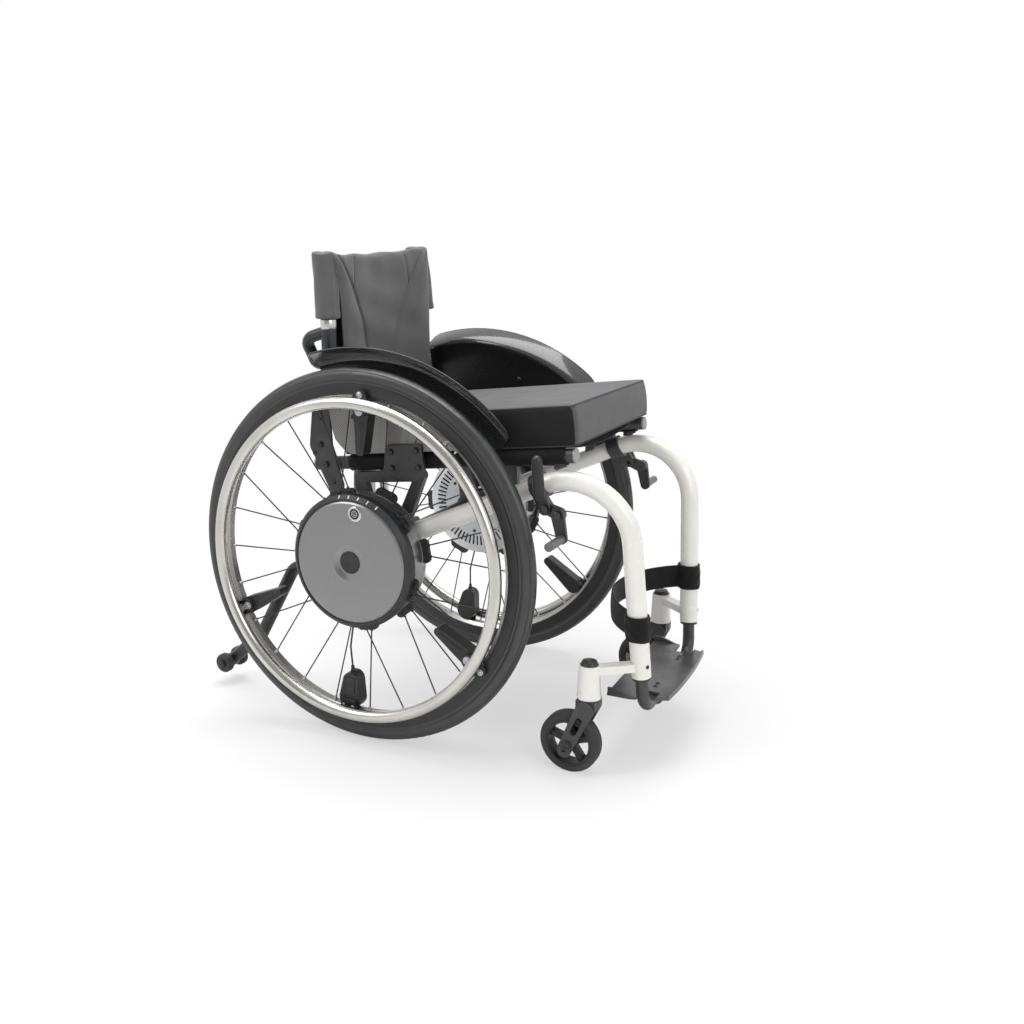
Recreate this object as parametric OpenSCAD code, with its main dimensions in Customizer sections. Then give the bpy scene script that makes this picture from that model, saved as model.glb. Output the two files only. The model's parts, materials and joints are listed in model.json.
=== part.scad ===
// Active wheelchair with two hub-motor drive wheels.
// X points forward, Y to the left, Z up, in mm. The floor is Z = 0.

/* [Drive wheels] */
// Outside diameter of a drive tyre
tyre_d = 596; // [570:2:620]
// Width of a drive tyre
tyre_w = 25; // [23:1:27]
// Distance between the middle planes of the two drive tyres
track = 446; // [444:1:456]
// Diameter of a push rim on its tube's centre line
push_rim_d = 496; // [486:1:498]
// Diameter of a push rim's tube
push_rim_tube_d = 19; // [16:0.5:20]
// Distance of a push rim outboard of the tyre's middle plane
push_rim_offset = 33; // [32:0.5:38]
// Diameter of a spoke
spoke_d = 2.2; // [1.8:0.1:3]

/* [Power hubs] */
// Diameter of a hub's outer ring
hub_d = 212; // [206:1:216]
// Distance of a hub's outer face from the tyre's middle plane
hub_face = 35; // [34:0.5:40]
// Distance of a hub's inner face from the tyre's middle plane
hub_back = 37; // [34:0.5:37.5]
// Diameter of a battery cover
cover_d = 193; // [186:1:196]
// Diameter of a release button
button_d = 35; // [28:1:40]
// Diameter of a charging socket's ring
socket_d = 24; // [18:1:26]
// Diameter of a charging socket's bore
socket_bore_d = 9; // [6:0.5:12]

/* [Frame] */
// Distance of a seat rail inboard of a tyre's middle plane
rail_in = 61; // [60:0.5:63]
// Distance of a side tube outboard of a seat rail
tube_out = 8; // [6:0.5:9]
// Diameter of a side tube
side_tube_d = 30; // [26:1:31]
// Wall of the frame's tubes
tube_wall = 2; // [1.5:0.25:3]
// Bend radius of a side tube's knee
knee_bend = 94; // [84:1:100]
// Distance of the front uprights' foot ahead of the rear axle
foot_x = 431; // [425:1:438]
// Distance of a front upright's foot inboard of its side tube
foot_in = 37.5; // [34:0.5:40]
// Height of a front upright's lower end
foot_z = 147; // [140:1:155]
// Diameter of a foot tube
foot_tube_d = 19.4; // [16:0.2:21]

/* [Seat and back] */
// Height of a seat rail's front end
rail_z = 478; // [474:1:484]
// Slope of the seat
seat_angle = 6.5; // [5:0.25:7.5]
// Diameter of a seat rail
rail_d = 22; // [19:0.5:22.5]
// Gap between the cushion and a sideguard
cushion_side = 5; // [3:0.5:12]
// Thickness of the cushion
cushion_t = 70; // [58:1:74]
// Height of the back's fold pivot
back_pivot_z = 545; // [542:1:556]
// Lean of the back
back_angle = 0.5; // [0:0.5:4]
// Length of the back above its pivot
back_len = 226; // [204:2:250]
// Diameter of a back cane
cane_d = 25; // [22:0.5:26]

/* [Casters] */
// Diameter of a caster wheel
caster_d = 94; // [90:1:98]
// Width of a caster wheel
caster_w = 24; // [20:1:26]
// Distance of a caster's stem ahead of the rear axle
caster_x = 367; // [362:1:370]
// Distance of a caster's stem outboard of the side tube
caster_out = 13; // [8:0.5:18]
// Distance of a caster's wheel axle behind its stem
caster_trail = 27; // [24:1:32]

/* [Brakes, anti-tipper and footrest] */
// Diameter of a brake grip
grip_d = 17; // [15:0.5:21]
// Diameter of the anti-tipper's tube
anti_tube_d = 22; // [19:0.5:24]
// Diameter of one of the anti-tipper's rollers
anti_roller_d = 34; // [30:1:42]
// Distance of the footplate's edge inboard of an upright's foot
plate_side = 8; // [6:0.5:16]
// Thickness of the footplate
plate_t = 4; // [3:0.25:5]

/* [Hidden] */

$fn = 64;
// Extra length of every cutter, lap of joined tube pieces, step at a bend's seam and share of a bar's flanks
cut = 2;
lap = 1;
seam = 0.12;
seam_share = 0.998;
// Gap between bolted pieces, radial play of a turning fit and gap between moving pieces
fit = 0.1;
play = 0.05;
gap = 0.6;

// Tyre, rim and spokes, measured along the radius and across the wheel
tyre_r = tyre_d / 2;
tyre_mid = tyre_r - tyre_w / 2;
tyre_wall = 3.5;
bead_h = 13.5;
bead_r = tyre_mid - bead_h;
bead_w = 21;
bead_gap = 13;
groove_r = 0.8;
groove_turn = 38;
lip_t = 1.5;
rim_w = bead_w + 2 * (lip_t + fit);
rim_lip_h = 2.5;
rim_h = 20;
rim_r = bead_r - rim_h;
rim_foot_w = 12;
rim_flank_h = 7;
well_w = 10;
well_h = 14;
well_flare = 2;
lobe_n = 6;
lobe_turn = 40;
lobe_reach = 7.5;
lobe_half_w = 8;
lobe_spread = 6;
lobe_t = 6;
spoke_hub_turn = 4;
spoke_rim_turn = 7.5;
spoke_depth = 3;
spoke_inset = 1;
spoke_cross_share = 0.7;
hub_turn = 86.5;
left_turn = -5;

// Hub profile
hub_r = hub_d / 2;
ring_overhang = 5.5;
drum_r = hub_r - ring_overhang;
drum_wall = 9;
magnet_r = drum_r - drum_wall;
cover_r = cover_d / 2;
cover_gap = 0.4;
bay_r = cover_r + cover_gap;
bevel = 6;
cover_proud = 2;
ring_face = hub_face - cover_proud;
ring_depth = 20;
ring_back = hub_face - ring_depth;
web_t = 7;
web_z = 2;
boss_r = 26;
boss_back = -8;
boss_front = 12;
bearing_r = 15;
back_t = 10.7;
shell_back = -(hub_back - back_t) + play;
lobe_inset = 2;
lobe_back = shell_back + lobe_inset;
back_bore_r = 36;
back_slope = 6;
back_flat_share = 0.82;
slot_n = 60;
slot_len = 18;
slot_w = 3.2;
slot_r = 66;
slot_depth = 5;
pack_gap = 1.5;
pack_t = 16;
pack_grooves = 10;
pack_groove_r = 2;
cover_t = 7;
cover_edge = 3;
dish_reach = 11;
dish_r = button_d / 2 + dish_reach;
dish_depth = 3.5;
dish_floor = 2.5;
button_gap = 0.4;
button_t = 9;
button_dip_r = 60;
button_dip = 1;
button_stem_r = 5;
button_stem = 5;
socket_dist = 80;
socket_turn = 81;
socket_proud = 0.8;
socket_depth = 6.5;
socket_bevel = 2;
light_n = 5;
light_turn = 62;
light_step = 9.5;
light_l = 2;
light_w = 6;
light_depth = 0.8;

// Axle, stator and bearings
axle_r = 8;
air_gap = 1.5;
stator_r = magnet_r - air_gap;
stator_inset = 2;
stator_back = shell_back + stator_inset;
stator_front = web_z - air_gap;
eye_gap = 2;
stator_eye_r = boss_r + eye_gap;
stator_eye_back = boss_back - eye_gap;
bearing_in_t = 6;
sleeve_r = back_bore_r - bearing_in_t;
sleeve_proud = 2;
sleeve_back = -(hub_back + sleeve_proud);
spigot_r = 14;
axle_inset = 1;
axle_front = boss_front - axle_inset;
bearing_inset = 0.5;
bearing_in_back = -(hub_back - bearing_inset);
bearing_gap = 0.8;
bearing_in_front = shell_back - bearing_gap;
bearing_out_front = 4;

// Rim mounts, sensor and its lead
mount_n = 3;
mount_tip = 172;
mount_tip_r = 7;
mount_base_inset = 14;
mount_base_r = 13.8;
mount_back = -8;
mount_front = 14;
mount_ear_t = 8;
mount_ear = 256;
mount_ear_r = 12;
pin_r = 4;
pin_inset = 2;
pin_at = push_rim_d / 2 - pin_inset;
pin_play = 0.6;
pin_travel = 1.5;
pin_floor = 1;
collar_r = 8;
sensor_turn = 265.5;
sensor_tip = 204;
sensor_tip_r = 14;
sensor_base_inset = 19.2;
sensor_base_r = 19;
sensor_clip_l = 30;
sensor_clip_w = 28;
sensor_clip_t = 5;
sensor_dent_w = 18;
sensor_dent_l = 26;
sensor_dent = 0.8;
lead_r = 1.6;
lead_z = 3;
lead_bend = 14;
lead_mid = [150, 262];
lead_end = 262.5;

// Side tubes, plates and brackets
side_y = track / 2 - rail_in;
frame_y = side_y + tube_out;
foot_y = frame_y - foot_in;
rear_x = 48;
rear_rise = 27;
rear_z = tyre_r + rear_rise;
upright_rake = 20;
knee_x = foot_x - upright_rake;
knee_rise = 11;
knee_z = rail_z + knee_rise;
side_r = side_tube_d / 2;
rail_r = rail_d / 2;
rail_x = 331;
rail_rear = 449;
axle_plate_t = 12;
axle_boss_r = 23;
axle_boss_l = 12;
axle_boss_in = side_y - axle_boss_l;
spigot_l = track / 2 + sleeve_back - axle_boss_in - gap;
plate_leg_r = 9;
plate_foot_r = 13;
plate_back_x = -30;
plate_front_x = 80;
spigot_in = 25;
spigot_out = plate_foot_r + gap;
axle_tube_r = 16;
axle_tube_wall = 3;
bracket_x = [235, 310];
bracket_t = 10;
bracket_rail_r = 7;
bracket_tube_r = 9;
clamp_plate = [[26, 472], [88, 479], [96, 428], [78, 419], [44, 421], [24, 432]];
clamp_block = [[30, 437], [30, 457], [84, 460], [84, 440]];
clamp_plate_t = 5;
clamp_bolts = [[34, 462], [79, 468], [36, 437], [83, 442]];
back_pivot_x = -99;
back_plate_t = 5;
back_plate_in = side_y + rail_r + fit;
back_ear_r = 14;
back_mid = [-101, 462];
back_mid_r = 21;
back_low = [-74, 397];
back_low_r = 14;

// Sideguards, measured from the axle along the radius
guard_in = back_plate_in + back_plate_t + fit;
guard_t = 2.4;
guard_gap = 5;
guard_r = tyre_r + guard_gap;
guard_rise = 26;
guard_reach = 49;
guard_from = 41;
guard_to = 107;
guard_step = 3;
guard_steps = 7;
guard_low = 16;
guard_rear_shares = [[-0.2772, 0.7591], [-0.2508, 0.6271], [-0.2046, 0.5479], [-0.132, 0.505]];
guard_front_share = 0.7327;
guard_front_x = guard_r * guard_front_share;

// Seat sling and cushion, measured on the sloping seat
sling_front = -10;
sling_rear = -386;
sling_t = 2;
sling_sag = 14;
sling_edge_share = 0.6;
sling_steps = 12;
cushion_front = 8;
cushion_rear = -396;
cushion_w = 2 * (guard_in - cushion_side);
cushion_gap = 0.5;
cushion_lift = rail_r + sling_t + cushion_gap;
cushion_crown = 8;
cushion_draw = 3;
cushion_corner = 15;
cushion_edge = 7;
cushion_n = 8;
corner_share = 0.25;
cushion_top_shares = [0, 0.12, 0.3, 0.5, 0.72, 0.95];

// Back canes, bar and upholstery, measured on the leaning back from its pivot
cane_in = 14;
cane_y = side_y - cane_in;
cane_foot = 8;
cane_r = cane_d / 2;
cane_top_gap = 6;
hinge_r = 13;
hinge_pin_r = 5;
bar_r = 10;
bar_back = -46;
bar_top = 98;
bar_knee = 84;
bar_low = 40;
bar_in = 30;
bar_low_y = cane_y - bar_in;
bar_bend = 22;
pad_foot = 12;
pad_sag = 16;
pad_dip = 8;
wrap_r = 20;
wrap_gap = 1.3;
wrap_in = cane_r + wrap_gap;
wrap_n = 7;
pad_n = 7;
// Share of the height, and how far the covering wraps round a cane there
pad_level_shares = [[0, 30], [0.05, 30], [0.25, 30], [0.476, 30], [0.479, 60], [0.482, 90], [0.485, 120],
  [0.488, 150], [0.491, 180], [0.494, 215], [0.6, 215], [0.75, 215], [0.9, 215], [0.97, 215], [1, 215]];

// Casters and front uprights
caster_r = caster_d / 2;
caster_y = frame_y + caster_out;
barrel_h = 51;
barrel_z = 121;
barrel_top_r = 15.5;
barrel_low_r = 18;
stem_r = 8;
stem_top_gap = 3;
arm_r = 9;
arm_z = 36;
arm_h = 12;
caster_cap_r = 14;
caster_cap_h = 5;
crown_r = 17;
crown_h = 16;
leg_t = 5;
leg_gap = 3;
leg_top_r = 14;
leg_axle_r = 11;
leg_tail = 10;
leg_hole_r = 3;
leg_slot_r = 5;
leg_slot_shares = [0.3, 0.62];
crown_l = 30;
caster_axle_r = 4;
caster_nut_r = 7;
caster_nut_h = 4;
caster_tread_t = 10;
caster_tread_bevel = 5;
caster_rim_t = 5;
caster_boss_r = 11;
caster_spokes = 5;
caster_spoke_w = 9;
caster_spoke_t = 12;

// Foot tube, footplate and calf strap
foot_cross_z = 92;
foot_bend = 32;
foot_grip = 45;
bush_l = 20;
collar_t = 4;
plate_w = 2 * (foot_y - plate_side);
plate_back = 56;
plate_rear = foot_x - plate_back;
plate_reach = 40;
plate_front = foot_x + plate_reach;
plate_bulge = 5;
plate_corner_share = 0.83;
plate_arc_n = 14;
plate_gap = 0.6;
plate_lip_h = 7;
plate_lip_t = 4;
plate_wing_l = 36;
plate_wing_h = 12;
notch_w = 28;
notch_in = 5;
lug_in = 18.5;
lug_w = 18;
lug_t = 4.5;
strap_z = 225;
strap_h = 38;
strap_t = 2.4;
strap_play = 0.8;
strap_sag = 80;

// Brakes
clamp_t = 4;
clamp_l = 22;
clamp_back = 17;
clamp_x = tyre_r - clamp_back;
brake_ahead = 19;
brake_drop = 27.267;
brake_pivot = [clamp_x + brake_ahead, side_at(clamp_x) - brake_drop];
shoe_ahead = 20;
shoe_below = 7;
shoe_pivot = brake_pivot + [shoe_ahead, -shoe_below];
shoe_forward = 7;
shoe_drop = 34;
shoe_at = shoe_pivot + [shoe_forward, -shoe_drop];
brake_plate_t = 6;
brake_in = frame_y + side_r + clamp_t + fit;
lever_in = brake_in + brake_plate_t + gap;
lever_t = 6;
lever_boss_r = 9;
neck_back = 7;
neck_rise = 18;
lever_neck = brake_pivot + [-neck_back, neck_rise];
lever_neck_r = 7;
grip_rise = 15;
grip_low = brake_pivot + [-neck_back, grip_rise];
grip_lean = 4;
grip_l = 56;
grip_top = grip_low + [-grip_lean, grip_l];
grip_y = lever_in + grip_d / 2;
shoe_boss_r = 10;
shoe_arm_r = 8;
shoe_r = 6.5;
shoe_l = 54;
brake_pin_r = 4;
head_h = 3;
head_r = 6.5;
bolt_r = 5;

// Anti-tipper
anti_fall_share = 0.35;
anti_knee_x = -194;
anti_knee = [anti_knee_x, tyre_r + anti_knee_x * anti_fall_share];
anti_heel = [-268, 98];
anti_wheel = [-338, 39];
anti_bend = 30;
anti_r = anti_tube_d / 2;
anti_clamp_r = 21;
anti_clamp_l = 24;
anti_socket_r = 14.6;
anti_y = axle_boss_in - anti_socket_r - gap;
anti_socket_end = 78;
anti_plug = 27;
anti_axle_r = 4;
anti_boss_r = 10;
anti_boss_w = anti_tube_d + 2 * lap;
anti_wheel_w = 14;
anti_lug = 3;

// Overall reach, so that the middle of the bounding box is X = 0
anti_reach = -anti_wheel.x + anti_roller_d / 2;
axle_x = (anti_reach - plate_front) / 2;

// Helpers
function unit(v) = v / norm(v);
function turned(a, p, b) = acos(unit(p - a) * unit(b - p));
function polar(r, a) = [r * cos(a), r * sin(a)];
function rail_at(x) = rail_z + (x - rail_x) * tan(seat_angle);
function side_at(x) = rear_z + (x - rear_x) * (knee_z - rear_z) / (knee_x - rear_x);
function upright_at(z) = [foot_x + (foot_z - z) * (foot_x - knee_x) / (knee_z - foot_z),
  -foot_y + (foot_z - z) * (frame_y - foot_y) / (knee_z - foot_z), z];
function xz(p, y) = [p.x, y, p.y];

module rod(a, b, r) {
  v = b - a;
  translate(a) rotate([0, acos(v.z / norm(v)), atan2(v.y, v.x)]) cylinder(h = norm(v), r = r);
}

module elbow(a, p, b, bend, r) {
  d = unit(p - a);
  n = unit(cross(d, b - p));
  e = -cross(n, d);
  c = p - d * bend * tan(turned(a, p, b) / 2) - e * bend;
  multmatrix([[e.x, d.x, n.x, c.x], [e.y, d.y, n.y, c.y], [e.z, d.z, n.z, c.z], [0, 0, 0, 1]])
    rotate_extrude(angle = turned(a, p, b)) translate([bend, 0]) circle(r);
}

// A rod along a path of points with every corner bent to one radius
module bent_rod(path, bend, r) {
  last = len(path) - 1;
  trim = [for (i = [0:last]) i == 0 || i == last ? 0
    : bend * tan(turned(path[i - 1], path[i], path[i + 1]) / 2)];
  for (i = [0:last - 1]) let (d = unit(path[i + 1] - path[i]))
    rod(path[i] + d * (i > 0 ? trim[i] - lap : 0),
      path[i + 1] - d * (i < last - 1 ? trim[i + 1] - lap : 0), r - seam);
  for (i = [1:1:last - 1])
    elbow(path[i - 1], path[i], path[i + 1], bend, r);
}

module bent_tube(path, bend, r, wall) {
  last = len(path) - 1;
  open = [for (i = [0:last]) i == 0 ? path[0] - unit(path[1] - path[0]) * cut
    : i == last ? path[last] + unit(path[last] - path[last - 1]) * cut : path[i]];
  difference() {
    bent_rod(path, bend, r);
    bent_rod(open, bend, r - wall);
  }
}

// A flat bar between two round ends
module bar(a, ra, b, rb, h) {
  u = unit(b - a);
  s = (ra - rb) / norm(b - a);
  k = sqrt(1 - s * s);
  n = [-u.y, u.x];
  ka = ra * seam_share;
  kb = rb * seam_share;
  translate(a) cylinder(r = ra, h = h);
  translate(b) cylinder(r = rb, h = h);
  linear_extrude(h)
    polygon([a + ka * (u * s + n * k), b + kb * (u * s + n * k), b + kb * (u * s - n * k),
      a + ka * (u * s - n * k)]);
}

module ring(inner, outer, low, high) {
  rotate_extrude() translate([inner, low]) square([outer - inner, high - low]);
}

module tube_y(r, from, to) {
  translate([0, from, 0]) rotate([-90, 0, 0]) cylinder(r = r, h = to - from);
}

// Places: the chair from the axle, a side view looking inward, a wheel, the seat and the back
module chair() {
  translate([axle_x, 0, 0]) children();
}

module side_view(out) {
  translate([0, -out, 0]) rotate([90, 0, 0]) children();
}

module wheel() {
  chair() translate([0, -track / 2, tyre_r]) rotate([90, 0, 0]) children();
}

module seat_place() {
  chair() translate([rail_x, 0, rail_z]) rotate([0, -seat_angle, 0]) children();
}

module back_place() {
  chair() translate([back_pivot_x, 0, back_pivot_z]) rotate([0, -back_angle, 0]) children();
}

module mirrored() {
  mirror([0, 1, 0]) children();
}

module both() {
  children();
  mirrored() children();
}

// Closes a stack of equal loops, each counter-clockwise from above, into one solid. The ends are
// closed across the loop, from each point to the one facing it
module loft(loops) {
  n = len(loops[0]);
  m = len(loops);
  points = [for (l = loops) for (p = l) p];
  walls = [for (j = [0:m - 2]) for (i = [0:n - 1]) let (k = (i + 1) % n)
    each [[j * n + i, (j + 1) * n + k, j * n + k], [j * n + i, (j + 1) * n + i, (j + 1) * n + k]]];
  floor = [for (i = [0:n / 2 - 2])
    each [[i, i + 1, n - 2 - i], [i, n - 2 - i, n - 1 - i]]];
  roof = [for (f = floor) [f[2], f[1], f[0]] + (m - 1) * n * [1, 1, 1]];
  polyhedron(points, concat(floor, walls, roof));
}

// Drive wheel pieces, with the wheel's axis along local Z and outboard up
module tyre() {
  color("#242527") difference() {
    union() {
      rotate_extrude() translate([tyre_mid, 0]) circle(tyre_w / 2);
      ring(bead_r, tyre_mid, -bead_w / 2, bead_w / 2);
    }
    rotate_extrude() translate([tyre_mid, 0]) circle(tyre_w / 2 - tyre_wall);
    ring(bead_r - cut, tyre_mid, -bead_gap / 2, bead_gap / 2);
    for (s = [-1, 1])
      rotate_extrude() translate([tyre_mid, 0] + tyre_w / 2 * [sin(groove_turn), s * cos(groove_turn)])
        circle(groove_r);
  }
}

module rim() {
  floor_r = bead_r - fit;
  lip = bead_r + rim_lip_h;
  half = [[rim_r, rim_foot_w / 2], [rim_r + rim_flank_h, rim_w / 2], [lip, rim_w / 2],
    [lip, rim_w / 2 - lip_t], [floor_r, rim_w / 2 - lip_t], [floor_r, well_w / 2 + well_flare],
    [floor_r - well_h, well_w / 2]];
  color("#8f9397") rotate_extrude()
    polygon(concat(half, [for (i = [len(half) - 1:-1:0]) [half[i].x, -half[i].y]]));
}

module spoke(hub_at, hub_z, rim_at) {
  a = concat(polar(drum_r + lobe_reach - spoke_inset, hub_at), hub_z);
  b = concat(polar(rim_r + spoke_depth, rim_at), 0);
  rod(a, b, spoke_d / 2);
}

module spokes() {
  front = ring_back - lobe_t / 2;
  step = spoke_d * spoke_cross_share;
  color("#3a3b3d") for (i = [0:lobe_n - 1], s = [-1, 1])
    let (t = lobe_turn + i * 360 / lobe_n, u = t + 180 / lobe_n) {
      spoke(t + s * spoke_hub_turn, front + s * step, t - s * spoke_rim_turn);
      spoke(u + s * spoke_hub_turn, lobe_back + lobe_t / 2, u + s * spoke_rim_turn);
    }
}

module lobes(first, low) {
  for (i = [0:lobe_n - 1]) let (t = first + i * 360 / lobe_n, r = drum_r + lobe_reach - lobe_half_w / 3)
    translate([0, 0, low])
      bar(polar(r, t - lobe_spread), lobe_half_w, polar(r, t + lobe_spread), lobe_half_w, lobe_t);
}

module hub_shell() {
  color("#2b2d30") difference() {
    union() {
      rotate_extrude() polygon([[bay_r, ring_face], [hub_r - bevel, ring_face], [hub_r, ring_face - bevel],
        [hub_r, ring_back], [drum_r, ring_back], [drum_r, shell_back], [magnet_r, shell_back],
        [magnet_r, web_z], [boss_r, web_z], [boss_r, boss_back], [bearing_r, boss_back],
        [bearing_r, boss_front], [boss_r, boss_front], [boss_r, web_z + web_t], [bay_r, web_z + web_t]]);
      difference() {
        union() {
          lobes(lobe_turn, ring_back - lobe_t);
          lobes(lobe_turn + 180 / lobe_n, lobe_back);
        }
        translate([0, 0, shell_back]) cylinder(r = drum_r - lap, h = hub_back + hub_face);
      }
    }
    for (i = [0:light_n - 1])
      rotate(light_turn + i * light_step)
        translate([hub_r - bevel / 2, 0, ring_face - bevel / 2]) rotate([0, 45, 0])
          cube([light_w, light_l, 2 * light_depth], center = true);
  }
}

module hub_back() {
  color("#b9bcbf") difference() {
    rotate_extrude() polygon([[back_bore_r, -hub_back], [drum_r * back_flat_share, -hub_back],
      [drum_r - lap, -hub_back + back_slope], [drum_r - lap, shell_back - play],
      [back_bore_r, shell_back - play]]);
    for (i = [0:slot_n - 1])
      rotate(i * 360 / slot_n) translate([slot_r, -slot_w / 2, -hub_back - cut])
        cube([slot_len, slot_w, slot_depth + cut]);
  }
}

module battery_pack() {
  low = web_z + web_t + fit;
  color("#33363a") difference() {
    ring(boss_r + pack_gap, bay_r - pack_gap, low, low + pack_t);
    for (i = [0:pack_grooves - 1])
      rotate(i * 360 / pack_grooves) translate([bay_r - pack_gap, 0, low - cut])
        cylinder(r = pack_groove_r, h = pack_t + 2 * cut);
  }
}

module battery_cover() {
  back = hub_face - cover_t;
  hole = button_d / 2 + button_gap;
  color("#77797c") difference() {
    rotate_extrude() polygon([[hole, back], [cover_r, back], [cover_r, hub_face - cover_edge],
      [cover_r - cover_edge, hub_face - cover_edge / 4], [cover_r * 2 / 3, hub_face], [dish_r, hub_face],
      [hole + dish_floor, hub_face - dish_depth], [hole, hub_face - dish_depth]]);
    translate(concat(polar(socket_dist, socket_turn), back - cut))
      cylinder(r = socket_d / 2 + fit, h = cover_t + 2 * cut);
  }
}

module charge_socket() {
  back = hub_face - cover_t;
  h = cover_t + socket_proud;
  r = socket_d / 2;
  color("#c9cbcd") translate(concat(polar(socket_dist, socket_turn), back)) difference() {
    rotate_extrude() polygon([[0, 0], [r, 0], [r, h - socket_bevel / 2], [r - socket_bevel, h], [0, h]]);
    translate([0, 0, h - socket_depth]) cylinder(r = socket_bore_d / 2, h = socket_depth + cut);
  }
}

module release_button() {
  top = hub_face - dish_depth + gap;
  r = button_d / 2;
  color("#1f2022") difference() {
    union() {
      translate([0, 0, top - button_t]) cylinder(r = r, h = button_t);
      translate([0, 0, top - button_t - button_stem]) cylinder(r = button_stem_r, h = button_stem + lap);
    }
    translate([0, 0, top + button_dip_r - button_dip]) sphere(button_dip_r);
  }
}

module mount_body() {
  base = rim_r - mount_base_inset;
  translate([0, 0, mount_back])
    bar([mount_tip, 0], mount_tip_r, [base, 0], mount_base_r, mount_front - mount_back);
  translate([0, 0, rim_w / 2 + fit]) bar([base, 0], mount_ear_r, [mount_ear, 0], mount_ear_r, mount_ear_t);
}

module rim_mounts() {
  reach = pin_at * sin(pin_travel) + pin_play;
  color("#26282b") for (i = [0:mount_n - 1]) rotate(hub_turn + i * 360 / mount_n) difference() {
    mount_body();
    translate([0, 0, rim_w / 2 + fit + pin_floor])
      bar([pin_at, -reach], pin_r + pin_play, [pin_at, reach], pin_r + pin_play, mount_ear_t + cut);
  }
}

module push_rim() {
  foot = rim_w / 2 + fit + pin_floor + gap;
  low = rim_w / 2 + fit + mount_ear_t + gap;
  color("#c4c7ca") union() {
    rotate_extrude() translate([push_rim_d / 2, push_rim_offset]) circle(push_rim_tube_d / 2);
    for (i = [0:mount_n - 1])
      rotate(hub_turn + i * 360 / mount_n) translate([pin_at, 0, 0]) {
        translate([0, 0, foot]) cylinder(r = pin_r, h = push_rim_offset - foot);
        translate([0, 0, low]) cylinder(r = collar_r, h = push_rim_offset - low);
      }
  }
}

module rim_sensor() {
  base = rim_r - sensor_base_inset;
  start = concat(polar(sensor_tip, sensor_turn), lead_z);
  color("#2a2c2f") {
    rotate(sensor_turn) difference() {
      union() {
        translate([0, 0, mount_back])
          bar([sensor_tip, 0], sensor_tip_r, [base, 0], sensor_base_r, mount_front - mount_back);
        translate([base, -sensor_clip_w / 2, rim_w / 2 + fit])
          cube([sensor_clip_l, sensor_clip_w, sensor_clip_t]);
      }
      translate([sensor_tip - sensor_dent_l / 4, -sensor_dent_w / 2, mount_front - sensor_dent])
        cube([sensor_dent_l, sensor_dent_w, sensor_dent + cut]);
    }
    bent_rod([start, concat(polar(lead_mid.x, lead_mid.y), lead_z),
      concat(polar(drum_r + fit, lead_end), lead_z)], lead_bend, lead_r);
  }
}

module stator() {
  bore = axle_r + play;
  rotate_extrude() polygon([[bore, sleeve_back - spigot_l], [spigot_r, sleeve_back - spigot_l],
    [spigot_r, sleeve_back], [sleeve_r, sleeve_back], [sleeve_r, stator_back], [stator_r, stator_back],
    [stator_r, stator_front], [stator_eye_r, stator_front], [stator_eye_r, stator_eye_back],
    [bore, stator_eye_back]]);
}

module axle_sets() {
  color("#55585c") both() wheel() {
    stator();
    translate([0, 0, sleeve_back - spigot_l]) cylinder(r = axle_r, h = axle_front - sleeve_back + spigot_l);
    ring(sleeve_r + play, back_bore_r - play, bearing_in_back, bearing_in_front);
    ring(axle_r + play, bearing_r - play, boss_back + lap, bearing_out_front);
  }
}

// Frame pieces, right side
function side_path() = [[rear_x, -frame_y, rear_z], [knee_x, -frame_y, knee_z], [foot_x, -foot_y, foot_z]];

module side_tube() {
  color("#f1efe8") chair() bent_tube(side_path(), knee_bend, side_r, tube_wall);
}

module seat_rails() {
  color("#2a2b2d") both() seat_place() difference() {
    rod([-rail_rear, -side_y, 0], [0, -side_y, 0], rail_r);
    rod([-rail_rear - cut, -side_y, 0], [cut, -side_y, 0], rail_r - tube_wall);
  }
}

module clamp_plate() {
  out = guard_in + guard_t + fit;
  side_view(out) linear_extrude(clamp_plate_t) polygon(clamp_plate);
  side_view(frame_y) linear_extrude(out + lap - frame_y) polygon(clamp_block);
}

module rail_brackets() {
  color("#2a2b2d") both() difference() {
    chair() {
      for (x = bracket_x)
        side_view((side_y + frame_y - bracket_t) / 2)
          bar([x, rail_at(x)], bracket_rail_r, [x, side_at(x)], bracket_tube_r, bracket_t);
      clamp_plate();
    }
    seat_place() rod([-rail_rear, -side_y, 0], [0, -side_y, 0], rail_r + sling_t + gap);
    chair() rod(side_path()[0], side_path()[1], side_r + fit);
  }
}

module axle_plates() {
  under = (rail_r + sling_t + gap) / cos(seat_angle) + plate_leg_r;
  back = [plate_back_x, rail_at(plate_back_x) - under];
  front = [plate_front_x, rail_at(plate_front_x) - under];
  d = unit([knee_x - rear_x, knee_z - rear_z]);
  nose = [rear_x, rear_z] - d * spigot_out;
  color("#26272a") both() chair() difference() {
    union() {
      difference() {
        side_view(frame_y - axle_plate_t / 2) {
          bar([0, tyre_r], axle_boss_r, nose, plate_foot_r, axle_plate_t);
          bar([0, tyre_r], axle_boss_r - lap, back, plate_leg_r, axle_plate_t);
          bar(nose, plate_foot_r - lap, front, plate_leg_r - lap / 2, axle_plate_t);
          bar(back, plate_leg_r - lap / 2, front, plate_leg_r, axle_plate_t);
        }
        rod(xz([rear_x, rear_z] - d * gap, -frame_y), side_path()[1], side_r + gap);
      }
      translate([0, -track / 2 - sleeve_back + fit * 2, tyre_r])
        tube_y(axle_boss_r + lap, 0, track / 2 + sleeve_back - axle_boss_in - fit * 2);
      rod(xz(nose, -frame_y), xz([rear_x, rear_z] + d * spigot_in, -frame_y), side_r - tube_wall - gap);
    }
    translate([0, 0, tyre_r]) tube_y(spigot_r + fit, -track / 2, -axle_boss_in + cut);
  }
}

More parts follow.
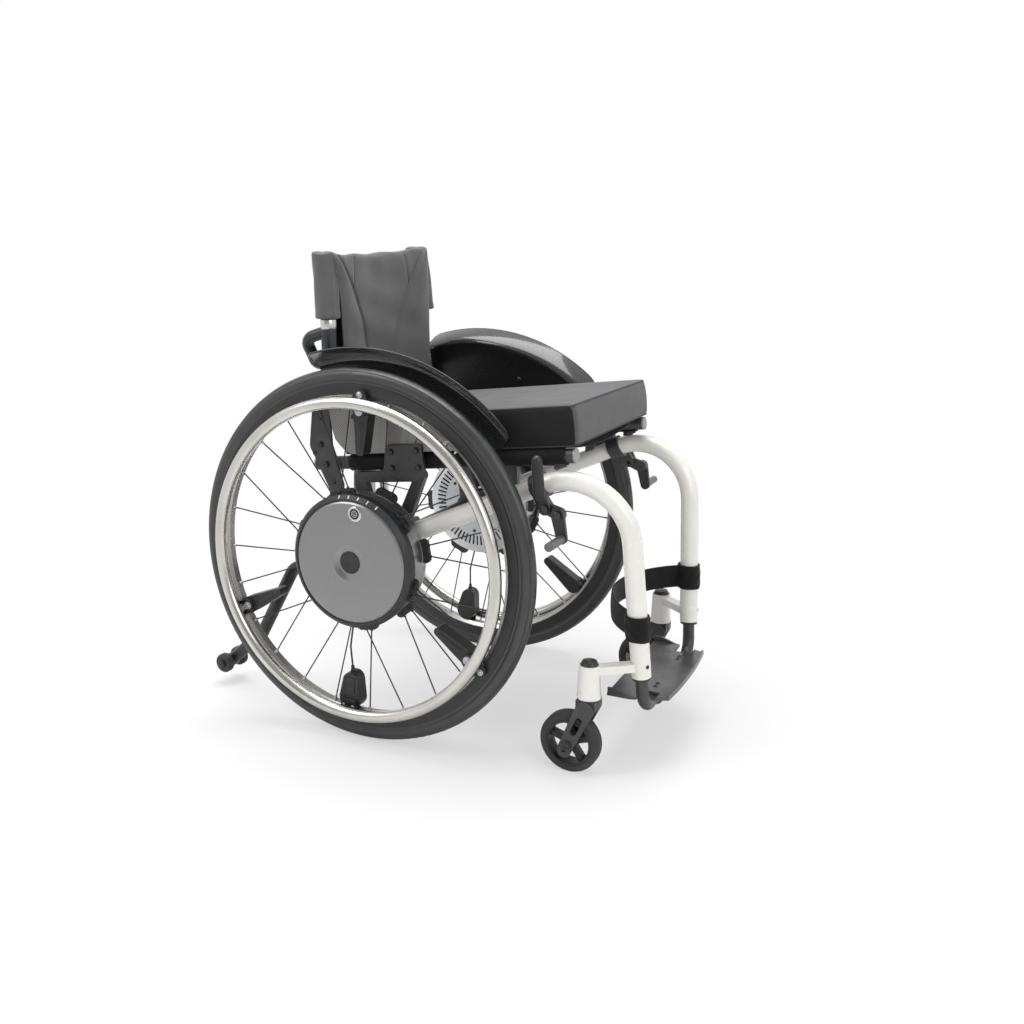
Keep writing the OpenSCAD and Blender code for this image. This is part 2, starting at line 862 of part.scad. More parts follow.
module axle_tube() {
  half = axle_boss_in - fit;
  color("#303236") chair() translate([0, 0, tyre_r]) difference() {
    tube_y(axle_tube_r, -half, half);
    tube_y(axle_tube_r - axle_tube_wall, -half - cut, half + cut);
  }
}

module back_brackets() {
  color("#242528") both() chair() side_view(back_plate_in) difference() {
    union() {
      bar([back_pivot_x, back_pivot_z], back_ear_r, back_mid, back_mid_r, back_plate_t);
      bar(back_mid, back_mid_r - lap / 2, back_low, back_low_r, back_plate_t);
    }
    translate([back_pivot_x, back_pivot_z, -cut])
      cylinder(r = hinge_pin_r + fit, h = back_plate_t + 2 * cut);
  }
}

module side_guard() {
  arc = [for (a = [guard_from:guard_step:guard_to]) polar(guard_r, a)];
  low = [for (x = [plate_back_x, guard_front_x]) [x, rail_at(x) + guard_low - tyre_r]];
  flare = [for (i = [0:guard_steps]) let (a = 90 * i / guard_steps)
    [guard_r - lap + guard_rise * sin(a), guard_reach * (1 - cos(a))]];
  inner = [for (i = [guard_steps:-1:0]) let (a = 90 * i / guard_steps)
    [guard_r - lap - guard_t + guard_rise * sin(a), guard_t + guard_reach * (1 - cos(a))]];
  color("#2d3033") chair() translate([0, 0, tyre_r]) side_view(guard_in) union() {
    linear_extrude(guard_t) polygon(concat(arc, guard_r * guard_rear_shares, low));
    rotate([0, 0, guard_from]) rotate_extrude(angle = guard_to - guard_from)
      polygon(concat([[guard_r - 3 * lap, 0]], flare, inner, [[guard_r - 3 * lap, guard_t]]));
  }
}

module seat_sling() {
  half = side_y - rail_r;
  top = [for (i = [-sling_steps:sling_steps]) let (s = i / sling_steps)
    [s * half, rail_r * sling_edge_share - sling_sag * (1 - s * s)]];
  under = [for (i = [len(top) - 1:-1:0]) top[i] - [0, sling_t]];
  l = sling_front - sling_rear;
  color("#202124") seat_place() difference() {
    union() {
      translate([sling_rear, 0, 0]) rotate([90, 0, 90]) linear_extrude(l) polygon(concat(top, under));
      for (s = [-1, 1])
        rod([sling_rear, s * side_y, 0], [sling_front, s * side_y, 0], rail_r + sling_t);
    }
    for (s = [-1, 1])
      rod([-rail_rear, s * side_y, 0], [cut, s * side_y, 0], rail_r + fit);
  }
}

function cushion_mid() = (cushion_front + cushion_rear) / 2;
function cushion_swell(x, y) = let (u = 2 * (x - cushion_mid()) / (cushion_front - cushion_rear),
  v = 2 * y / cushion_w) cushion_crown * (1 - pow(abs(u), 3)) * (1 - pow(abs(v), 3));
function cushion_loop(inset, z, swell) = let (hx = (cushion_front - cushion_rear) / 2 - inset,
  hy = cushion_w / 2 - inset, c = max(cushion_corner - inset, cushion_corner * corner_share))
  [for (q = [0:3]) for (i = [0:cushion_n - 1]) let (a = q * 90 + i * 90 / (cushion_n - 1),
    x = cushion_mid() + (q == 0 || q == 3 ? 1 : -1) * (hx - c) + c * cos(a),
    y = (q < 2 ? 1 : -1) * (hy - c) + c * sin(a))
    [x, y, z + (swell ? cushion_swell(x, y) : 0)]];

module seat_cushion() {
  t = cushion_t - cushion_crown;
  e = cushion_edge;
  d = cushion_draw;
  deep = cushion_w / 2 - e - cushion_corner / 3;
  sides = [[e, 0], [d / 2, e / 2], [0, e], [d / 2, t / 3], [d, t / 2], [d / 2, t * 2 / 3], [0, t - e],
    [d / 2, t - e / 3]];
  color("#55585b") seat_place()
    loft(concat([for (p = sides) cushion_loop(p[0], cushion_lift + p[1], false)],
      [for (s = cushion_top_shares) cushion_loop(e + s * deep, cushion_lift + t, true)]));
}

// Back, on its own leaning place
module cane() {
  rod([0, -cane_y, cane_foot], [0, -cane_y, back_len - cane_top_gap], cane_r);
  tube_y(hinge_r, -back_plate_in + gap, -cane_y + cane_r - lap);
}

module cane_bores() {
  rod([0, -cane_y, cane_foot + hinge_r], [0, -cane_y, back_len], cane_r - tube_wall);
  tube_y(hinge_pin_r + play, -back_plate_in, -cane_y + 2 * cane_r);
}

module back_frame() {
  arm = [0, -cane_y, bar_top];
  knee = [bar_back, -cane_y, bar_knee];
  low = [bar_back, -bar_low_y, bar_low];
  function flip(p) = [p.x, -p.y, p.z];
  path = [arm, knee, low, flip(low), flip(knee), flip(arm)];
  color("#3a3c40") back_place() difference() {
    union() {
      both() cane();
      bent_rod(path, bar_bend, bar_r);
    }
    both() cane_bores();
    bent_rod(path, bar_bend, bar_r - tube_wall);
  }
}

// One loop round the back's covering: its front, round both canes and along its back
function pad_front(y) = wrap_r - pad_sag * pow(1 - pow(y / cane_y, 2), 2);
function wrap(r, sweep) = [for (i = [0:wrap_n]) let (a = sweep * i / wrap_n)
  [r * cos(a), cane_y + r * sin(a)]];
function turned_back(l) = [for (i = [len(l) - 1:-1:0]) l[i]];
function right_of(l) = [for (p = l) [p.x, -p.y]];
function pad_loop(share, sweep) = let (n = pad_n, ys = [for (i = [1 - n:n - 1]) i / n * cane_y],
  front = [for (y = ys) [pad_front(y), y]],
  back = [for (y = turned_back(ys)) [pad_front(y) - wrap_r + wrap_in, y]],
  outer = wrap(wrap_r, sweep), inner = wrap(wrap_in, sweep))
  [for (p = concat(turned_back(right_of(outer)), front, outer, turned_back(inner), back, right_of(inner)))
    let (top = back_len - pad_dip * (1 - pow(p.y / (cane_y + wrap_r), 2)))
    [p.x, p.y, pad_foot + share * (top - pad_foot)]];

module back_upholstery() {
  color("#4b4d50") back_place() loft([for (l = pad_level_shares) pad_loop(l[0], l[1])]);
}

// Front uprights, casters and footrest
module caster_housing() {
  foot = upright_at(barrel_z + arm_z + arm_h / 2);
  top = barrel_z + barrel_h;
  difference() {
    union() {
      translate([caster_x, -caster_y, barrel_z])
        cylinder(r1 = barrel_low_r, r2 = barrel_top_r, h = barrel_h);
      translate([0, 0, barrel_z + arm_z])
        bar([caster_x, -caster_y], arm_r, [foot.x, foot.y], arm_r, arm_h);
    }
    translate([caster_x, -caster_y, barrel_z - cut]) cylinder(r = stem_r + play, h = barrel_h + 2 * cut);
    rod(upright_at(knee_z - knee_bend), upright_at(foot_cross_z), side_r + fit);
  }
}

module caster_housings() {
  color("#f1efe8") both() chair() caster_housing();
}

module caster_leg() {
  top = [caster_x, barrel_z - gap - leg_top_r];
  low = [caster_x - caster_trail, caster_r];
  tail = low + unit(low - top) * leg_tail;
  slot = [for (s = leg_slot_shares) top + (low - top) * s];
  difference() {
    bar(top, leg_top_r, tail, leg_axle_r, leg_t);
    translate([0, 0, -cut]) bar(slot[0], leg_slot_r, slot[1], leg_slot_r, leg_t + 2 * cut);
    translate(concat(tail, -cut)) cylinder(r = leg_hole_r, h = leg_t + 2 * cut);
  }
}

module caster_fork() {
  side = caster_w / 2 + leg_gap;
  crown_z = barrel_z - gap - crown_h;
  nut = side + leg_t - lap;
  color("#1f2022") chair() {
    translate([caster_x, -caster_y, crown_z]) cylinder(r = crown_r, h = crown_h);
    translate([caster_x, -caster_y, barrel_z - gap - lap])
      cylinder(r = stem_r, h = barrel_h - stem_top_gap + gap + lap);
    translate([caster_x - crown_l / 2, -caster_y - side - lap, crown_z + lap / 2])
      cube([crown_l, 2 * (side + lap), crown_h - lap]);
    side_view(caster_y + side) caster_leg();
    side_view(caster_y - side - leg_t) caster_leg();
    translate([caster_x - caster_trail, -caster_y, caster_r]) {
      tube_y(caster_axle_r, -nut, nut);
      for (s = [-1, 1])
        translate([0, s * (nut + caster_nut_h / 2), 0])
          tube_y(caster_nut_r, -caster_nut_h / 2 - lap / 4, caster_nut_h / 2 + lap / 4);
    }
  }
}

module caster_wheel() {
  chair() translate([caster_x - caster_trail, -caster_y, caster_r]) rotate([90, 0, 0]) children();
}

module caster_tyre() {
  h = caster_w / 2;
  inner = caster_r - caster_tread_t;
  color("#2b2c2e") caster_wheel() rotate_extrude()
    polygon([[inner, -h], [caster_r - caster_tread_bevel, -h], [caster_r, -h + caster_tread_bevel],
      [caster_r, h - caster_tread_bevel], [caster_r - caster_tread_bevel, h], [inner, h]]);
}

module caster_hub() {
  h = caster_w / 2;
  outer = caster_r - caster_tread_t - fit;
  color("#232426") caster_wheel() difference() {
    union() {
      ring(outer - caster_rim_t, outer, -h, h);
      translate([0, 0, -h - lap]) cylinder(r = caster_boss_r, h = caster_w + 2 * lap);
      for (i = [0:caster_spokes - 1])
        rotate(i * 360 / caster_spokes + 90) translate([0, -caster_spoke_w / 2, -caster_spoke_t / 2])
          cube([outer - caster_rim_t / 2, caster_spoke_w, caster_spoke_t]);
    }
    translate([0, 0, -caster_w]) cylinder(r = caster_axle_r + play, h = 2 * caster_w);
  }
}

module foot_tube() {
  r = foot_tube_d / 2;
  corner = upright_at(foot_cross_z);
  other = [corner.x, -corner.y, corner.z];
  start = upright_at(foot_z + foot_grip);
  color("#2c2e31") chair()
    bent_tube([start, corner, other, [start.x, -start.y, start.z]], foot_bend, r, tube_wall);
}

module end_caps() {
  r = rail_r - tube_wall - fit;
  low = upright_at(foot_z - gap / 2);
  high = upright_at(foot_z + bush_l);
  under = upright_at(foot_z - collar_t);
  color("#a9acae") both() {
    seat_place() {
      rod([fit, -side_y, 0], [head_h, -side_y, 0], rail_r);
      rod([-bush_l, -side_y, 0], [lap, -side_y, 0], r);
      rod([-rail_rear - head_h, -side_y, 0], [-rail_rear - fit, -side_y, 0], rail_r);
      rod([-rail_rear - lap, -side_y, 0], [-rail_rear + bush_l, -side_y, 0], r);
    }
    chair() difference() {
      union() {
        rod(under, high, side_r - tube_wall - gap);
        rod(under, low, side_r - lap);
      }
      rod(upright_at(foot_z - 2 * collar_t), upright_at(foot_z + 2 * bush_l), foot_tube_d / 2 + fit);
    }
    chair() translate([caster_x, -caster_y, barrel_z + barrel_h + fit]) difference() {
      cylinder(r1 = caster_cap_r, r2 = caster_cap_r - lap * 3, h = caster_cap_h);
      translate([0, 0, -cut]) cylinder(r = stem_r + gap, h = cut + lap);
    }
  }
}

module footplate() {
  y = plate_w / 2;
  top = foot_cross_z + foot_tube_d / 2 + plate_gap + plate_t;
  side = y * plate_corner_share;
  function edge(grow) = [for (i = [-plate_arc_n:plate_arc_n]) let (s = i / plate_arc_n)
    [plate_front - plate_bulge * s * s + grow, s * side]];
  under = top - plate_t;
  c = upright_at(foot_cross_z);
  notch = -c.y - foot_bend - notch_in;
  lug_y = notch - lug_in - lug_w / 2;
  color("#3d4043") chair() difference() {
    union() {
      translate([0, 0, under]) linear_extrude(plate_t)
        polygon(concat(edge(0), [[plate_rear + plate_wing_l, y], [plate_rear, y], [plate_rear, -y],
          [plate_rear + plate_wing_l, -y]]));
      translate([0, 0, under + lap / 2]) linear_extrude(plate_lip_h)
        polygon(concat(edge(-lap / 4), [for (i = [2 * plate_arc_n:-1:0]) edge(-plate_lip_t)[i]]));
      for (s = [-1, 1])
        translate([plate_rear + lap / 2, s * (y - plate_lip_t / 2 - lap / 4), under + lap / 2])
          rotate([90, 0, 0]) translate([0, 0, -plate_lip_t / 2]) linear_extrude(plate_lip_t)
            polygon([[0, 0], [plate_wing_l, 0], [plate_wing_l, plate_lip_h / 2],
              [plate_wing_l / 3, plate_wing_h], [0, plate_wing_h]]);
      for (s = [-1, 1])
        translate([c.x, s * lug_y, foot_cross_z]) {
          tube_y(foot_tube_d / 2 + lug_t, -lug_w / 2, lug_w / 2);
          translate([-foot_tube_d / 2, -lug_w / 2, 0])
            cube([foot_tube_d, lug_w, under - foot_cross_z + lap]);
        }
    }
    translate([c.x, 0, foot_cross_z]) tube_y(foot_tube_d / 2 + plate_gap / 2, -y, y);
    for (s = [-1, 1])
      translate([c.x - notch_w / 2, s * (notch - c.y) / 2 - (-c.y - notch) / 2, under - cut])
        cube([notch_w, -c.y - notch, plate_wing_h + 3 * cut]);
  }
}

module strap_loop() {
  r = side_r + strap_play;
  a = upright_at(strap_z - strap_h / 2);
  b = upright_at(strap_z + strap_h / 2);
  d = unit(b - a) * cut;
  difference() {
    rod(a, b, r + strap_t);
    rod(a - d, b + d, r);
  }
}

module calf_strap() {
  p = upright_at(strap_z);
  half = -p.y;
  big = (half * half + strap_sag * strap_sag) / (2 * strap_sag);
  sweep = asin(half / big) - asin((side_r + strap_play) / big);
  color("#1d1e20") chair() {
    both() strap_loop();
    translate([p.x - strap_sag + big, 0, strap_z - strap_h / 2]) rotate([0, 0, 180 - sweep])
      rotate_extrude(angle = 2 * sweep) translate([big - strap_t / 2, 0]) square([strap_t, strap_h]);
  }
}

// Brakes
module brake_mount() {
  d = unit([knee_x - rear_x, 0, knee_z - rear_z]);
  at = [clamp_x, -frame_y, side_at(clamp_x)];
  difference() {
    union() {
      rod(at - d * clamp_l / 2, at + d * clamp_l / 2, side_r + clamp_t);
      side_view(brake_in - lap - clamp_t) bar([at.x, at.z], lever_boss_r, brake_pivot, lever_boss_r,
        brake_plate_t + clamp_t + lap);
      side_view(brake_in) bar(brake_pivot, lever_boss_r - lap / 2, shoe_pivot, shoe_boss_r, brake_plate_t);
    }
    rod(at - d * clamp_l, at + d * clamp_l, side_r + fit);
    for (p = [brake_pivot, shoe_pivot])
      side_view(brake_in - 2 * cut - clamp_t) translate(p)
        cylinder(r = brake_pin_r + fit, h = brake_plate_t + clamp_t + 4 * cut);
  }
}

module brake_mounts() {
  color("#2a2b2d") both() chair() brake_mount();
}

module brake_lever() {
  color("#1e1f21") chair() difference() {
    union() {
      side_view(lever_in) bar(brake_pivot, lever_boss_r, lever_neck, lever_neck_r, lever_t);
      rod(xz(grip_low, -grip_y), xz(grip_top, -grip_y), grip_d / 2);
      translate(xz(grip_top, -grip_y)) sphere(grip_d / 2 - seam);
    }
    side_view(lever_in - cut) translate(brake_pivot) cylinder(r = brake_pin_r + play, h = lever_t + 2 * cut);
  }
}

module brake_shoe() {
  color("#6b6e72") chair() difference() {
    union() {
      side_view(lever_in) bar(shoe_pivot, shoe_boss_r, shoe_at, shoe_arm_r, lever_t);
      side_view(lever_in + lap / 2) translate(shoe_at) cylinder(r = shoe_r, h = shoe_l);
    }
    side_view(lever_in - cut) translate(shoe_pivot) cylinder(r = brake_pin_r + play, h = lever_t + 2 * cut);
  }
}

// Screws and pivot pins of the frame
module bolt_head(p, out) {
  side_view(out + fit) translate(p) cylinder(r = bolt_r, h = head_h);
}

module frame_bolts() {
  outer = back_plate_in + back_plate_t;
  color("#8a8d90") both() chair() {
    side_view(side_y - rail_r) translate([back_pivot_x, back_pivot_z, 0])
      cylinder(r = hinge_pin_r, h = outer + fit - side_y + rail_r + lap);
    side_view(outer + fit) translate([back_pivot_x, back_pivot_z, 0]) cylinder(r = head_r, h = head_h);
    for (p = [back_mid, [back_mid.x + back_mid_r / 2, rail_at(back_mid.x + back_mid_r / 2)]])
      bolt_head(p, outer);
    for (p = clamp_bolts)
      bolt_head(p, guard_in + guard_t + fit + clamp_plate_t);
    for (p = [brake_pivot, shoe_pivot]) {
      side_view(brake_in) translate(p)
        cylinder(r = brake_pin_r, h = brake_plate_t + lever_t + 2 * gap + lap);
      side_view(lever_in + lever_t + gap) translate(p) cylinder(r = head_r, h = head_h);
    }
  }
}

// Anti-tipper
function anti_path() = let (d = unit([-1, 0, -anti_fall_share]))
  concat([[0, -anti_y, tyre_r] + d * anti_plug],
    [for (p = [anti_knee, anti_heel, anti_wheel]) xz(p, -anti_y)]);

module anti_tip_socket() {
  d = unit([-1, 0, -anti_fall_share]);
  at = [0, -anti_y, tyre_r];
  color("#222326") chair() difference() {
    union() {
      translate(at) tube_y(anti_clamp_r, -anti_clamp_l / 2, anti_clamp_l / 2);
      rod(at + d * axle_tube_r, at + d * anti_socket_end, anti_socket_r);
    }
    translate(at) tube_y(axle_tube_r + fit, -anti_clamp_l, anti_clamp_l);
    rod(at + d * (anti_plug - anti_lug), at + d * (anti_socket_end + cut), anti_r + play);
  }
}

module anti_tip_arm() {
  pin = anti_boss_w / 2 + anti_wheel_w + 2 * gap + head_h / 2;
  color("#2b2d30") chair() {
    bent_rod(anti_path(), anti_bend, anti_r);
    translate(xz(anti_wheel, -anti_y)) {
      tube_y(anti_boss_r + lap * 2, -anti_boss_w / 2, anti_boss_w / 2);
      tube_y(anti_axle_r, -pin, pin);
      for (s = [-1, 1])
        translate([0, s * pin, 0]) tube_y(head_r, -head_h / 2, head_h / 2);
    }
  }
}

module anti_tip_rollers() {
  off = anti_boss_w / 2 + gap;
  r = anti_roller_d / 2;
  color("#3a3b3d") chair() translate(xz(anti_wheel, -anti_y))
    for (s = [-1, 1]) translate([0, s * (off + anti_wheel_w / 2), 0]) rotate([90, 0, 0]) rotate_extrude()
      polygon([[anti_axle_r + play, -anti_wheel_w / 2], [r - anti_lug, -anti_wheel_w / 2],
        [r, -anti_wheel_w / 2 + anti_lug], [r, anti_wheel_w / 2 - anti_lug],
        [r - anti_lug, anti_wheel_w / 2], [anti_axle_r + play, anti_wheel_w / 2]]);
}

// A piece of the left wheel stands a few degrees round from the right one's mirror image
module left_wheel() {
  mirrored() wheel() rotate(left_turn) children();
}

side_tube();  // side_tube_right
mirrored() side_tube();  // side_tube_left
seat_rails();
rail_brackets();
axle_plates();
axle_tube();
back_brackets();
side_guard();  // side_guard_right
mirrored() side_guard();  // side_guard_left
seat_sling();
seat_cushion();
caster_housings();
brake_mounts();
frame_bolts();
calf_strap();
axle_sets();
foot_tube();
end_caps();
anti_tip_socket();
back_frame();
back_upholstery();
wheel() tyre();  // tyre_right
left_wheel() tyre();  // tyre_left
wheel() rim();  // rim_right
left_wheel() rim();  // rim_left
wheel() spokes();  // spokes_right
left_wheel() spokes();  // spokes_left
wheel() hub_shell();  // hub_shell_right
left_wheel() hub_shell();  // hub_shell_left
wheel() hub_back();  // hub_back_right
left_wheel() hub_back();  // hub_back_left
wheel() battery_pack();  // battery_pack_right
left_wheel() battery_pack();  // battery_pack_left
wheel() battery_cover();  // battery_cover_right
left_wheel() battery_cover();  // battery_cover_left
wheel() charge_socket();  // charge_socket_right
left_wheel() charge_socket();  // charge_socket_left
wheel() rim_mounts();  // rim_mounts_right
left_wheel() rim_mounts();  // rim_mounts_left
wheel() rim_sensor();  // rim_sensor_right
left_wheel() rim_sensor();  // rim_sensor_left
wheel() release_button();  // release_button_right
left_wheel() release_button();  // release_button_left
wheel() push_rim();  // push_rim_right
left_wheel() push_rim();  // push_rim_left
caster_fork();  // caster_fork_right
mirrored() caster_fork();  // caster_fork_left
caster_tyre();  // caster_tyre_right
mirrored() caster_tyre();  // caster_tyre_left
caster_hub();  // caster_hub_right
mirrored() caster_hub();  // caster_hub_left
anti_tip_arm();
anti_tip_rollers();
brake_lever();  // brake_lever_right
mirrored() brake_lever();  // brake_lever_left
brake_shoe();  // brake_shoe_right
mirrored() brake_shoe();  // brake_shoe_left
footplate();
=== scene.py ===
import json
import math

import bmesh
import bpy
from mathutils import Matrix, Vector
from mathutils.bvhtree import BVHTree


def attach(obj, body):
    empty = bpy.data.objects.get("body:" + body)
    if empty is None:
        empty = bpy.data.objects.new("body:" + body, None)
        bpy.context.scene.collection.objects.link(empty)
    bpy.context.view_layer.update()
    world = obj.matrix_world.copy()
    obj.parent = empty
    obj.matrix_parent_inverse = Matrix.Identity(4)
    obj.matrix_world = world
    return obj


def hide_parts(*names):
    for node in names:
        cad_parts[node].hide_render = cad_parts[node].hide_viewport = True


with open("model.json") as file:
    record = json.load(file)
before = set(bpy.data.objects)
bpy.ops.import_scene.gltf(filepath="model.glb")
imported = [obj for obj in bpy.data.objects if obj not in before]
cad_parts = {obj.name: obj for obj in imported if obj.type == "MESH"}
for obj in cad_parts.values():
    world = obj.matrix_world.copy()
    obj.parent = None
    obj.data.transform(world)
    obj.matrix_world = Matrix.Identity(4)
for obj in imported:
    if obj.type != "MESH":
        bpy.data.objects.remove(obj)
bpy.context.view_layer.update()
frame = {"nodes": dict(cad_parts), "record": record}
NODES = frame["nodes"]
MM = 0.001

# Places shared with the solids, in metres: the axle, the wheels' middle planes, the seat and the back
AXLE = Vector((-0.058, 0.0, 0.298))
TRACK = 0.223
SEAT = Matrix.Translation((0.273, 0, 0.478)) @ Matrix.Rotation(math.radians(-6.5), 4, "Y")
BACK = Matrix.Translation((-0.157, 0, 0.545)) @ Matrix.Rotation(math.radians(-0.5), 4, "Y")
SIDES = {"right": -1, "left": 1}
LEFT_TURN = -5  # degrees by which the left wheel stands turned


def wheel_matrix(side):
    """A wheel's own place: x forward, y up, z outboard."""
    s = SIDES[side]
    base = Matrix.Translation((AXLE.x, s * TRACK, AXLE.z))
    out = Matrix(((1, 0, 0, 0), (0, 0, s, 0), (0, 1, 0, 0), (0, 0, 0, 1)))
    turn = Matrix.Rotation(math.radians(LEFT_TURN if side == "left" else 0), 4, "Z")
    return base @ out @ turn


# Materials
class Nodes:
    """Short calls that build up a node tree."""

    def __init__(self, tree):
        self.t = tree

    def node(self, kind, **sets):
        n = self.t.nodes.new("ShaderNode" + kind)
        for k, v in sets.items():
            setattr(n, k, v)
        return n

    def link(self, a, b):
        self.t.links.new(a, b)

    def math(self, op, a, b=None):
        n = self.node("Math", operation=op)
        for i, v in enumerate((a, b)):
            if isinstance(v, (int, float)):
                n.inputs[i].default_value = v
            elif v is not None:
                self.link(v, n.inputs[i])
        return n.outputs[0]

    def ramp(self, value, start, end, low=0.0, high=1.0, kind="LINEAR"):
        n = self.node("MapRange", interpolation_type=kind)
        for name, v in (("From Min", start), ("From Max", end), ("To Min", low), ("To Max", high)):
            n.inputs[name].default_value = v
        self.link(value, n.inputs["Value"])
        return n.outputs[0]


class Paint(Nodes):
    """A procedural material with one shader."""

    def __init__(self, name, color, rough, metal=0.0, **sockets):
        self.m = bpy.data.materials.new(name)
        self.m.use_nodes = True
        super().__init__(self.m.node_tree)
        self.b = self.t.nodes["Principled BSDF"]
        self.color = color
        sockets = {"Base_Color": (*color, 1), "Roughness": rough, "Metallic": metal, **sockets}
        for k, v in sockets.items():
            self.b.inputs[k.replace("_", " ")].default_value = v

    def place(self):
        return self.node("TexCoord").outputs["Object"]

    def axes(self, source=None):
        """The three parts of a vector, or of the place."""
        sep = self.node("SeparateXYZ")
        self.link(source or self.place(), sep.inputs[0])
        return sep.outputs

    def noise(self, scale, detail=3, rough=0.55):
        n = self.node("TexNoise")
        for name, v in (("Scale", scale), ("Detail", detail), ("Roughness", rough)):
            n.inputs[name].default_value = v
        self.link(self.place(), n.inputs["Vector"])
        return n.outputs["Fac"]

    def spread(self, fac, low=0, high=1):
        """Noise stretched from its usual span to the one asked for."""
        return self.ramp(fac, 0.3, 0.7, low, high)

    def tint(self, fac, a, b):
        n = self.node("Mix", data_type="RGBA")
        self.link(fac, n.inputs["Factor"])
        for i, c in ((6, a), (7, b)):
            if isinstance(c, tuple):
                n.inputs[i].default_value = (*c, 1)
            else:
                self.link(c, n.inputs[i])
        return n.outputs[2]

    def set(self, socket, source):
        self.link(source, self.b.inputs[socket])

    def shade(self, fac, low=0.85, high=1.12):
        """Colour that wanders round its own value."""
        a, b = (tuple(min(1, c * k) for c in self.color) for k in (low, high))
        out = self.tint(self.spread(fac), a, b)
        self.set("Base Color", out)
        return out

    def wander(self, fac, low, high):
        self.set("Roughness", self.spread(fac, low, high))

    def bump(self, height, strength, distance, edge=0.0):
        n = self.node("Bump")
        n.inputs["Strength"].default_value = strength
        n.inputs["Distance"].default_value = distance
        self.link(height, n.inputs["Height"])
        if edge:
            round_edge = self.node("Bevel", samples=6)
            round_edge.inputs["Radius"].default_value = edge
            self.link(round_edge.outputs[0], n.inputs["Normal"])
        self.set("Normal", n.outputs[0])
        return self


def lacquer(name, color, rough=0.22):
    p = Paint(name, color, rough, 0, Coat_Weight=0.6, Coat_Roughness=0.08)
    p.shade(p.noise(9, 2), 0.965, 1.03)
    p.wander(p.noise(60, 4), rough * 0.8, rough * 1.35)
    return p.bump(p.noise(420, 2), 0.03, 0.0004).m


def coated(name, color, rough=0.45, grain=900, edge=0.0006, metal=0.0, strength=0.16):
    p = Paint(name, color, rough, metal)
    p.shade(p.noise(35, 4), 0.8, 1.22)
    p.wander(p.noise(120, 4), rough * 0.82, rough * 1.2)
    return p.bump(p.noise(grain, 2, 0.6), strength, 0.0003, edge).m


def metal(name, color, rough=0.25, grain=260, strength=0.08):
    p = Paint(name, color, rough, 1.0)
    p.shade(p.noise(14, 3), 0.9, 1.06)
    p.wander(p.noise(grain, 4, 0.6), rough * 0.85, rough * 1.18)
    return p.bump(p.noise(grain * 2, 2, 0.5), strength, 0.00003).m


def rubber(name, color, rough=0.62, grain=700):
    p = Paint(name, color, rough, 0, Specular_IOR_Level=0.42)
    p.shade(p.noise(18, 5), 0.78, 1.3)
    p.wander(p.noise(45, 4), rough * 0.82, rough * 1.12)
    return p.bump(p.noise(grain, 3, 0.65), 0.3, 0.0004, 0.0005).m


def cloth(name, color, rough=0.8, thread=1300.0, sheen=0.25, strength=0.35, sides=None):
    """Woven cover: two crossed sets of threads, taken from the place. sides colours what faces along Y."""
    p = Paint(name, color, rough, 0, Sheen_Weight=sheen, Sheen_Roughness=0.45, Specular_IOR_Level=0.3)
    x, y, z = p.axes()
    pitch = thread * 2.2
    warp = p.math("SINE", p.math("MULTIPLY", p.math("ADD", x, z), pitch))
    weft = p.math("SINE", p.math("MULTIPLY", p.math("ADD", y, p.math("MULTIPLY", z, 0.35)), pitch))
    height = p.math("ADD", p.math("MULTIPLY", p.math("MULTIPLY", warp, weft), 0.25), p.noise(900, 3, 0.6))
    base = p.shade(p.noise(14, 5, 0.6), 0.86, 1.14)
    if sides:
        facing = p.math("ABSOLUTE", p.axes(p.node("NewGeometry").outputs["Normal"])[1])
        p.set("Base Color", p.tint(p.ramp(facing, 0.68, 0.74), base, sides))
    p.wander(p.noise(30, 3), rough * 0.9, min(1, rough * 1.1))
    return p.bump(height, strength, 0.0005).m


def around(p):
    """Distance from the wheel axle in metres, the way along it, and the two parts across it."""
    x, y, z = p.axes()
    dx, dz = p.math("ADD", x, -AXLE.x), p.math("ADD", z, -AXLE.z)
    r = p.math("SQRT", p.math("ADD", p.math("MULTIPLY", dx, dx), p.math("MULTIPLY", dz, dz)))
    return r, p.math("ABSOLUTE", y), dx, dz


def within(p, value, low, high):
    """One between two limits, zero outside them."""
    return p.math("MULTIPLY", p.math("GREATER_THAN", value, low), p.math("LESS_THAN", value, high))


